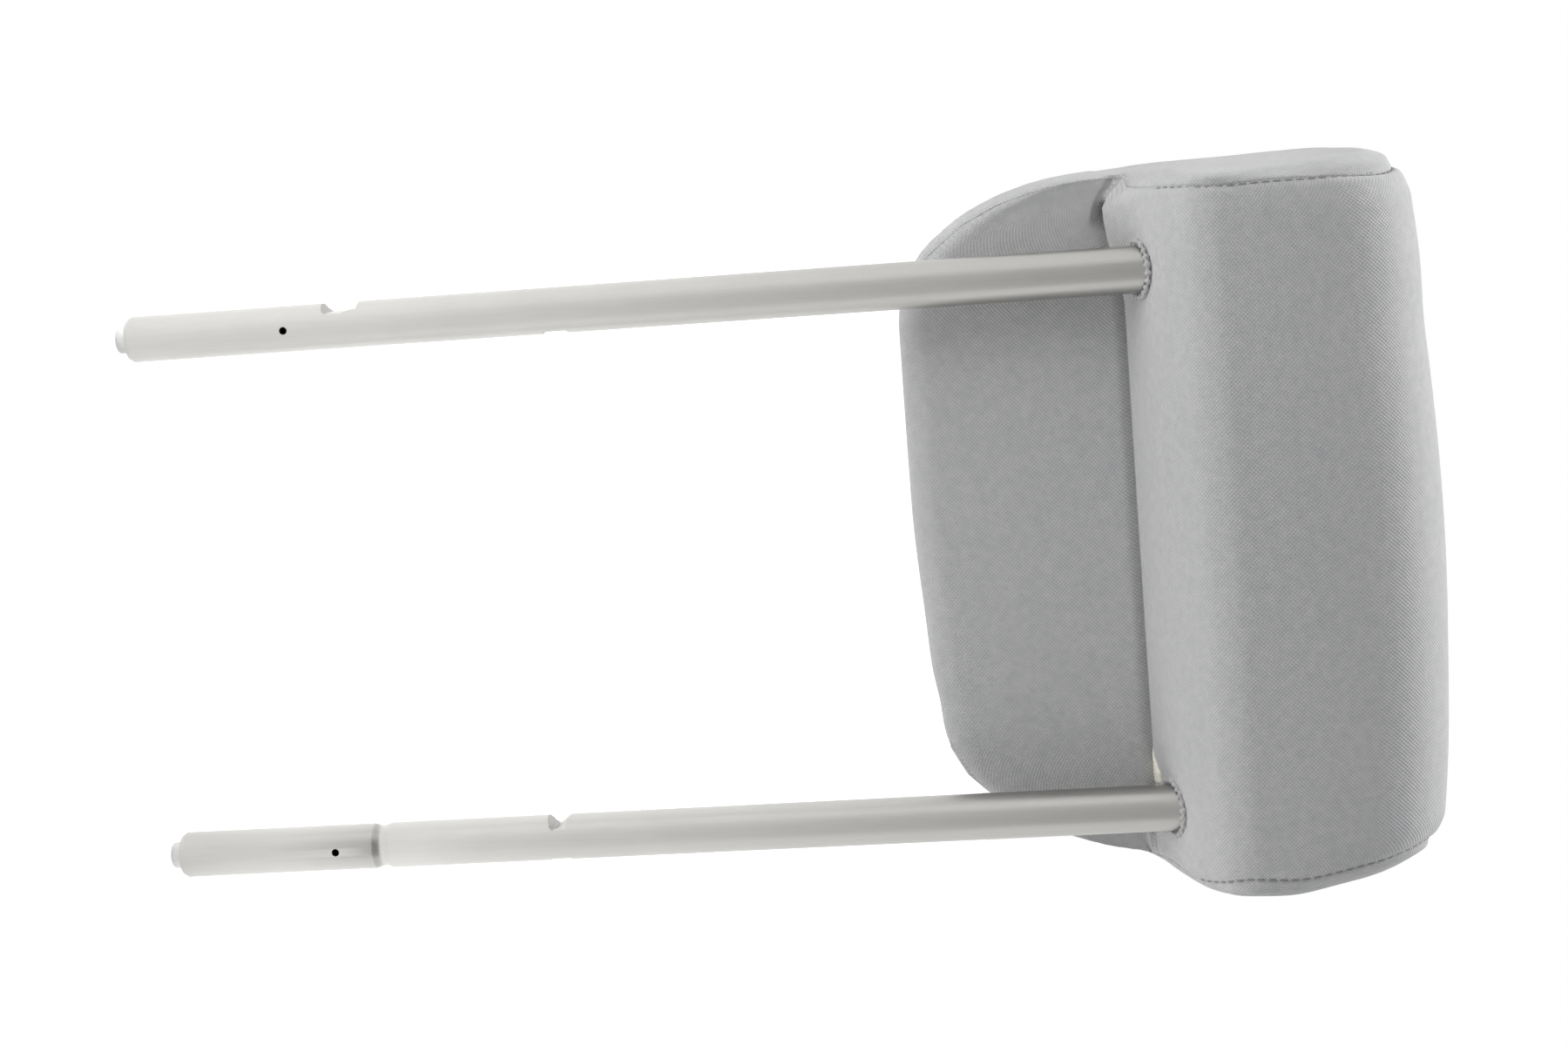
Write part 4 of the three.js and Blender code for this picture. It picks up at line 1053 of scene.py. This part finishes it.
def shades(colour, dark, light):
    return [c * dark for c in colour], [min(1, c * light) for c in colour]


def steel_material(name, colour, roughness):
    """Satin metal with a fine grain along the post."""
    material, tree, shader = node_material(name)
    place = object_place(tree)
    stretch = new_node(tree, "ShaderNodeMapping")
    stretch.inputs["Scale"].default_value = (1, 1, 0.02)
    tree.links.new(place, stretch.inputs["Vector"])
    grain = noise(tree, 3000, 3, stretch.outputs[0])
    cloud = noise(tree, 60, 3, place)
    tree.links.new(ramp(tree, grain, *shades(colour, 0.94, 1.05)), shader.inputs["Base Color"])
    rough = math_node(tree, "MULTIPLY_ADD", cloud, 0.12, roughness - 0.06)
    tree.links.new(rough, shader.inputs["Roughness"])
    shader.inputs["Metallic"].default_value = 1.0
    bump_node(tree, shader, grain, 0.12, 0.00008)
    return material


def grained_material(name, low, high, scale, detail, roughness, relief):
    """Mottled between two colours, with a fine relief of the same grain."""
    material, tree, shader = node_material(name)
    grain = noise(tree, scale, detail, object_place(tree))
    tree.links.new(ramp(tree, grain, low, high), shader.inputs["Base Color"])
    shader.inputs["Roughness"].default_value = roughness
    bump_node(tree, shader, grain, relief, 0.0001)
    return material


def plastic_material(name, colour, roughness, grain_scale=900):
    """Moulded plastic with a fine erosion grain."""
    return grained_material(name, *shades(colour, 0.95, 1.04), grain_scale, 3, roughness, 0.15)


def thread_material(name, low, high, scale):
    """Twisted yarn, mottled between two greys."""
    return grained_material(name, (low,) * 3, (high,) * 3, scale, 2, 0.7, 0.4)


def paint(piece, material):
    piece.data.materials.clear()
    piece.data.materials.append(material)


def stand_for(piece, slot, *nodes):
    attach(piece, "root")
    if nodes:
        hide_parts(*nodes)


def build_cover(fabric, thread, cream):
    pad = Pad()
    main, points = main_panel(pad)
    thicken(main, COVER_THICKNESS)
    paint(main, fabric)
    stand_for(main, "cover_fabric", "cover_main_panel", "foam_pad")
    for side, name in SIDE_NAMES.items():
        panel = side_panel(pad, points, side)
        thicken(panel, COVER_THICKNESS)
        paint(panel, fabric)
        stand_for(panel, "cover_fabric", f"cover_side_{name}")
        stitches = seam_thread(points, side)
        paint(stitches, thread)
        stand_for(stitches, "cover_fabric")
    edge = strip_edge(pad, points)
    paint(edge, cream)
    stand_for(edge, "strip_plastic")
    return pad, points


def strip_edge(pad, points):
    """The closure strip's cream edge where it shows beside the right post, wider toward the post."""
    normal = grid_normals(points)
    x = points[:, pad.crease, 0]
    rows = []
    narrow, wide = STRIP_EDGE_WIDTHS
    for way in np.linspace(*STRIP_EDGE_SPAN, STRIP_EDGE_STEPS):
        row = int(np.argmin(np.abs(x + way)))
        width = narrow + (wide - narrow) * smooth(way, *STRIP_EDGE_WIDENING)
        reach = [0.5, 0.2 - 0.25 * width, 0.1 - 0.6 * width, -width]
        columns = [int(np.argmin(np.abs(pad.place - r))) for r in reach]
        line = points[row, columns] + normal[row, columns] * STRIP_EDGE_STAND
        line[:, 0] = -way
        rows.append(np.concatenate([line, (line - normal[row, columns])[::-1]]))
    faces = grid_faces(len(rows), 8, wrap=True)
    last = 8 * (len(rows) - 1)
    faces += [list(range(8))[::-1], [last + k for k in range(8)]]
    return mesh_piece("closure_strip_edge", np.concatenate(rows), faces)


def build_metal(steel, plug, ring, pad, points):
    hoop = post_hoop()
    paint(hoop, steel)
    stand_for(hoop, "post_steel", "post_hoop")
    for side, name in SIDE_NAMES.items():
        cap = end_plug(side)
        paint(cap, plug)
        stand_for(cap, "plug_plastic", f"end_plug_{name}")
        bead = entry_ring(side, pad, points)
        paint(bead, ring)
        stand_for(bead, "ring_plastic", f"entry_ring_{name}")


def dress_cad_nodes(materials):
    for name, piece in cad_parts.items():
        for start, material in materials.items():
            if name.startswith(start):
                paint(piece, material)


# Floor, light and camera, in metres
FLOOR_HEIGHT = -0.0035
FLOOR_HALF_SIZE = 3.0
FLOOR_GLOW = 0.8
WALL_DISTANCE = 1.9
WALL_HALF_WIDTH = 2.0
WALL_HEIGHT = 2.2
WALL_GREY = 0.45
AMBIENT = 0.48
CAMERA_PLACE = (0.13613, 0.87748, 0.30097)
CAMERA_FORWARD = (-0.139366, -0.981301, -0.132762)
CAMERA_UP = (0.987116, -0.148315, 0.060037)
FOCAL_LENGTH = 73.69
PAD_MIDDLE = (0.0, 0.0, 0.29)
UNDERSIDE_MIDDLE = (0.0, -0.01, 0.26)


def floor_material():
    """White to the camera and to gloss, with the shadow left in it."""
    material = bpy.data.materials.new("pale_floor")
    material.use_nodes = True
    tree = material.node_tree
    tree.nodes.clear()
    output = new_node(tree, "ShaderNodeOutputMaterial")
    plain = new_node(tree, "ShaderNodeBsdfDiffuse")
    plain.inputs["Color"].default_value = (0.8, 0.8, 0.8, 1)
    glow = new_node(tree, "ShaderNodeEmission")
    ray = new_node(tree, "ShaderNodeLightPath")
    seen = math_node(tree, "MAXIMUM", ray.outputs["Is Camera Ray"], ray.outputs["Is Glossy Ray"])
    tree.links.new(math_node(tree, "MULTIPLY", seen, FLOOR_GLOW), glow.inputs["Strength"])
    both = new_node(tree, "ShaderNodeAddShader")
    tree.links.new(plain.outputs[0], both.inputs[0])
    tree.links.new(glow.outputs[0], both.inputs[1])
    tree.links.new(both.outputs[0], output.inputs["Surface"])
    return material


def flat_sheet(name, corners, material):
    mesh = bpy.data.meshes.new(name)
    mesh.from_pydata(corners, [], [(0, 1, 2, 3)])
    sheet = placed(name, mesh)
    paint(sheet, material)
    return sheet


def build_floor():
    size = FLOOR_HALF_SIZE
    corners = [(-size, -size), (size, -size), (size, size), (-size, size)]
    return flat_sheet("floor", [(x, y, FLOOR_HEIGHT) for x, y in corners], floor_material())


def build_wall():
    """A grey wall behind the camera, for the posts to reflect."""
    grey, _, shader = node_material("room_wall")
    shader.inputs["Base Color"].default_value = (WALL_GREY, WALL_GREY, WALL_GREY, 1)
    shader.inputs["Roughness"].default_value = 1.0
    x, y, top = WALL_HALF_WIDTH, WALL_DISTANCE, WALL_HEIGHT
    wall = flat_sheet("wall", [(-x, y, 0), (x, y, 0), (x, y, top), (-x, y, top)], grey)
    wall.visible_camera = False
    return wall


def build_world():
    """White to the camera, to gloss and through glass, and dimmer as a light."""
    world = bpy.data.worlds.new("studio")
    bpy.context.scene.world = world
    world.use_nodes = True
    tree = world.node_tree
    background = tree.nodes["Background"]
    background.inputs["Color"].default_value = (1, 1, 1, 1)
    ray = new_node(tree, "ShaderNodeLightPath")
    seen = math_node(tree, "MAXIMUM", ray.outputs["Is Camera Ray"], ray.outputs["Is Glossy Ray"])
    seen = math_node(tree, "MAXIMUM", seen, ray.outputs["Is Transmission Ray"])
    strength = math_node(tree, "MULTIPLY_ADD", seen, 1 - AMBIENT, AMBIENT)
    tree.links.new(strength, background.inputs["Strength"])


def area_light(name, place, target, size, power, in_gloss=True):
    lamp = bpy.data.lights.new(name, "AREA")
    lamp.shape = "DISK"
    lamp.size = size
    lamp.energy = power
    holder = placed(name, lamp)
    holder.location = place
    holder.rotation_euler = (Vector(target) - Vector(place)).to_track_quat("-Z", "Y").to_euler()
    holder.visible_camera = False
    holder.visible_glossy = in_gloss


def build_camera():
    data = bpy.data.cameras.new("camera")
    data.lens = FOCAL_LENGTH
    data.sensor_width = 36
    data.clip_start = 0.01
    camera = placed("camera", data)
    back = -Vector(CAMERA_FORWARD).normalized()
    right = Vector(CAMERA_UP).cross(back).normalized()
    up = back.cross(right)
    turn = Matrix((right, up, back)).transposed().to_4x4()
    camera.matrix_world = Matrix.Translation(CAMERA_PLACE) @ turn
    bpy.context.scene.camera = camera


fabric = fabric_material()
steel = steel_material("post_satin", (0.47, 0.464, 0.448), 0.40)
zinc = steel_material("zinc", (0.5, 0.51, 0.53), 0.4)
plug = plastic_material("white_plug", (0.9, 0.9, 0.88), 0.4)
strip = plastic_material("cream_strip", (0.84, 0.82, 0.72), 0.4)
ring = thread_material("grey_bead", 0.18, 0.62, 1100)
thread = thread_material("sewing_thread", 0.16, 0.3, 2400)
carrier = plastic_material("black_moulding", (0.03, 0.03, 0.033), 0.55, 400)

pad, points = build_cover(fabric, thread, strip)
build_metal(steel, plug, ring, pad, points)
dress_cad_nodes({"carrier_screw": zinc, "carrier_front": carrier, "carrier_rear": carrier, "closure": strip})

build_floor()
build_wall()
build_world()
area_light("above", (0.25, -0.25, 1.5), PAD_MIDDLE, 0.9, 18)
area_light("left_side", (1.3, -0.2, 0.25), PAD_MIDDLE, 1.4, 3.2, in_gloss=False)
area_light("low_side", (0.9, 0.7, 0.12), (0.05, -0.01, 0.25), 0.8, 2.4, in_gloss=False)
for side, name in SIDE_NAMES.items():
    area_light(f"under_{name}", (side * 0.26, 0.085, 0.0), UNDERSIDE_MIDDLE, 0.3, 0.74, in_gloss=False)
build_camera()

bpy.context.scene.view_settings.view_transform = "Standard"
